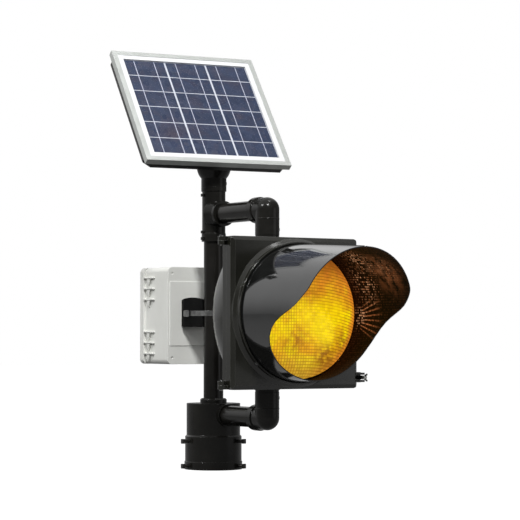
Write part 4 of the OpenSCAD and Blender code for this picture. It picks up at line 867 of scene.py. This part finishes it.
def cellFinish(look):
    # blue crystals in angular grains, with fine silver fingers across each cell
    material, tree, shader = newMaterial("cellBlue")
    place = objectPlace(tree)
    crystals = addNode(tree, "ShaderNodeTexVoronoi")
    crystals.inputs["Scale"].default_value = look["crystals"]
    tree.links.new(place, crystals.inputs["Vector"])
    tint = separate(tree, crystals.outputs["Color"])
    colour = mixColour(tree, tint["X"], look["blueDark"], look["blue"])
    violet = rangeOf(tree, tint["Y"], 0.0, look["violetShare"], *look["violetReach"])
    colour = mixColour(tree, violet, colour, look["violet"])
    colour = mixColour(tree, cloudMask(tree, place, *look["duskClouds"]), colour, look["dusk"])
    row = compute(tree, "DIVIDE", panelAxes(tree, place, look)["Y"], look["fingerPitch"])
    centred = compute(tree, "SUBTRACT", compute(tree, "FRACT", row), 0.5)
    finger = rangeOf(tree, compute(tree, "ABSOLUTE", centred), 0.0, look["fingerShare"],
                     *look["fingerReach"])
    colour = mixColour(tree, finger, colour, look["finger"])
    tree.links.new(colour, shader.inputs["Base Color"])
    tree.links.new(rangeOf(tree, tint["Z"], *look["cellRough"]), shader.inputs["Roughness"])
    shader.inputs["Specular IOR Level"].default_value = look["cellShine"]
    return material


finishes["cellBlue"] = cellFinish(panelLook)


def paneFinish(look):
    # thin glass: clear over the cells, and white from the sheet behind it round them
    material, tree, shader = newMaterial("panelGlass")
    place = objectPlace(tree)
    axes = panelAxes(tree, place, look)
    past = [compute(tree, "SUBTRACT", compute(tree, "ABSOLUTE", axes[axis]), size / 2)
            for axis, size in zip("XY", fieldSize(look))]
    margin = rangeOf(tree, compute(tree, "MAXIMUM", *past), 0.0, 1.0, *look["marginReach"])
    smear = noise(tree, place, *look["smear"])
    tree.links.new(rangeOf(tree, smear, *look["paneRough"]), shader.inputs["Roughness"])
    tree.links.new(mixColour(tree, margin, look["paneTint"], look["marginWhite"]),
                   shader.inputs["Base Color"])
    veil = rangeOf(tree, smear, *look["veil"])
    tree.links.new(blendValue(tree, margin, veil, 1.0), shader.inputs["Alpha"])
    shader.inputs["Specular IOR Level"].default_value = look["paneShine"]
    return material


finishes["panelGlass"] = paneFinish(panelLook)

# lamp behind the lens

lampLook = {
    "dark": (0.9, 0.5, 0.03),
    "light": (0.95, 0.65, 0.1),
    "clouds": (60.0, 2.0),
    "glow": 0.6,
    "rough": 0.25,
}


def lampFinish(look):
    material, tree, shader = newMaterial("lampAmber")
    cloud = noise(tree, objectPlace(tree), *look["clouds"])
    colour = mixColour(tree, cloud, look["dark"], look["light"])
    tree.links.new(colour, shader.inputs["Base Color"])
    tree.links.new(colour, shader.inputs["Emission Color"])
    shader.inputs["Emission Strength"].default_value = look["glow"]
    shader.inputs["Roughness"].default_value = look["rough"]
    return material


finishes["lampAmber"] = lampFinish(lampLook)

# finishes of the nodes by material slot

slotFinish = {
    "black_casting": "blackCasting", "black_pipe": "blackPipe", "dark_steel": "darkScrew",
    "zinc_steel": "zincSteel", "stainless": "stainlessSteel", "dark_shell": "darkShell",
    "visor_plastic": "visorBlack", "amber_lens": "amberLens", "gasket_rubber": "gasketRubber",
    "bright_aluminium": "brightAluminium", "cream_plastic": "creamPlastic",
    "lamp_plastic": "lampAmber", "anodised_frame": "anodisedFrame", "panel_glass": "panelGlass",
    "cell_blue": "cellBlue", "white_sheet": "whiteSheet", "black_plastic": "blackPlastic",
    "black_tray": "blackTray", "grey_plastic": "greyBox", "battery_plastic": "batteryShell",
    "green_plastic": "greenBoard",
}
# nodes that look unlike the others of their slot
nodeFinish = {"pole_saddle": "blackPlastic", "wing_screws": "zincSteel"}
nodeSlots = {part["node"]: part["material_slot"] for part in frame["record"]["subparts"]}


def dressNodes():
    for name, node in nodes.items():
        material = finishes[nodeFinish.get(name, slotFinish[nodeSlots[name]])]
        for slot in node.material_slots:
            slot.material = material


dressNodes()
print("finishes made and put on the nodes")

# shape of the prism lens

def domeLine(look):
    # radius and height of the dome: flat in front and steep at its edge
    points = []
    for step in range(look["rings"] + 1):
        angle = math.radians(90) * (step / look["rings"]) ** look["ringEase"]
        points.append((look["radius"] * math.sqrt(math.sin(angle)),
                       look["rise"] * max(math.cos(angle), 0.0) ** (2 / 3)))
    return points


def makeLens(look):
    # one corner of a plane is drawn out along the dome's outline, which is then spun
    clearSelection()
    bpy.ops.mesh.primitive_plane_add(size=look["seed"], location=(0, 0, 0))
    lens = startPiece("prismLens")
    outline = domeLine(look)
    outline += [(look["flangeRadius"], 0.0), (look["flangeRadius"], -look["flange"])]
    editAll(lens)
    editMesh = bmesh.from_edit_mesh(lens.data)
    editMesh.verts.ensure_lookup_table()
    for point in editMesh.verts:
        point.select_set(point.index != 0)
    bmesh.update_edit_mesh(lens.data)
    bpy.ops.mesh.delete(type="VERT")
    bpy.context.tool_settings.mesh_select_mode = (True, False, False)
    bpy.ops.mesh.select_all(action="SELECT")
    editMesh = bmesh.from_edit_mesh(lens.data)
    editMesh.verts.ensure_lookup_table()
    editMesh.verts[0].co = (outline[0][0], 0, outline[0][1])
    bmesh.update_edit_mesh(lens.data)
    for first, second in zip(outline, outline[1:]):
        step = (second[0] - first[0], 0, second[1] - first[1])
        bpy.ops.mesh.extrude_region_move(TRANSFORM_OT_translate={"value": step})
    bpy.ops.mesh.select_all(action="SELECT")
    bpy.ops.mesh.spin(steps=look["turns"], angle=math.radians(360), center=(0, 0, 0),
                      axis=(0, 0, 1))
    bpy.ops.mesh.select_all(action="SELECT")
    bpy.ops.mesh.remove_doubles(threshold=look["weld"])
    bpy.ops.mesh.normals_make_consistent(inside=False)
    bpy.ops.object.mode_set(mode="OBJECT")
    faces = lens.data.polygons
    if sum(face.normal.z * face.area for face in faces) < 0:
        editAll(lens)
        bpy.ops.mesh.flip_normals()
        bpy.ops.object.mode_set(mode="OBJECT")
    applyModifier(lens, "SOLIDIFY", thickness=look["wall"], offset=-1.0)
    middle = look["middle"]
    place = (Matrix.Translation((middle[0], look["foot"], middle[1]))
             @ Matrix.Rotation(math.radians(90), 4, "X"))
    finishPiece(lens, "door", finishes["amberLens"], 60, place)
    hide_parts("lens")


makeLens(lensLook)
print("lens made")

# flat ribbons over the cells

def makeRibbons(look):
    fieldWidth, fieldHeight = fieldSize(look)
    cellWidth = (fieldWidth - (look["columns"] - 1) * look["columnGap"]) / look["columns"]
    bars = []
    for column in range(look["columns"]):
        left = -fieldWidth / 2 + column * (cellWidth + look["columnGap"])
        for share in look["busPlaces"]:
            clearSelection()
            centre = (left + share * cellWidth, 0, look["busLift"])
            bpy.ops.mesh.primitive_plane_add(size=1, location=centre)
            bar = startPiece("busBar")
            bar.scale = (look["busWidth"], fieldHeight + look["busOverlap"], 1)
            bpy.ops.object.transform_apply(location=True, rotation=True, scale=True)
            editAll(bar)
            rise = {"value": (0, 0, look["busThick"])}
            bpy.ops.mesh.extrude_region_move(TRANSFORM_OT_translate=rise)
            bpy.ops.object.mode_set(mode="OBJECT")
            bars.append(bar)
    clearSelection()
    for bar in bars:
        bar.select_set(True)
    bpy.context.view_layer.objects.active = bars[0]
    bpy.ops.object.join()
    ribbons = bpy.context.object
    ribbons.name = "busRibbons"
    finishPiece(ribbons, "pole_assembly", finishes["silverRibbon"], 30,
                panelPlace(look))


makeRibbons(panelLook)
print("panel ribbons made")
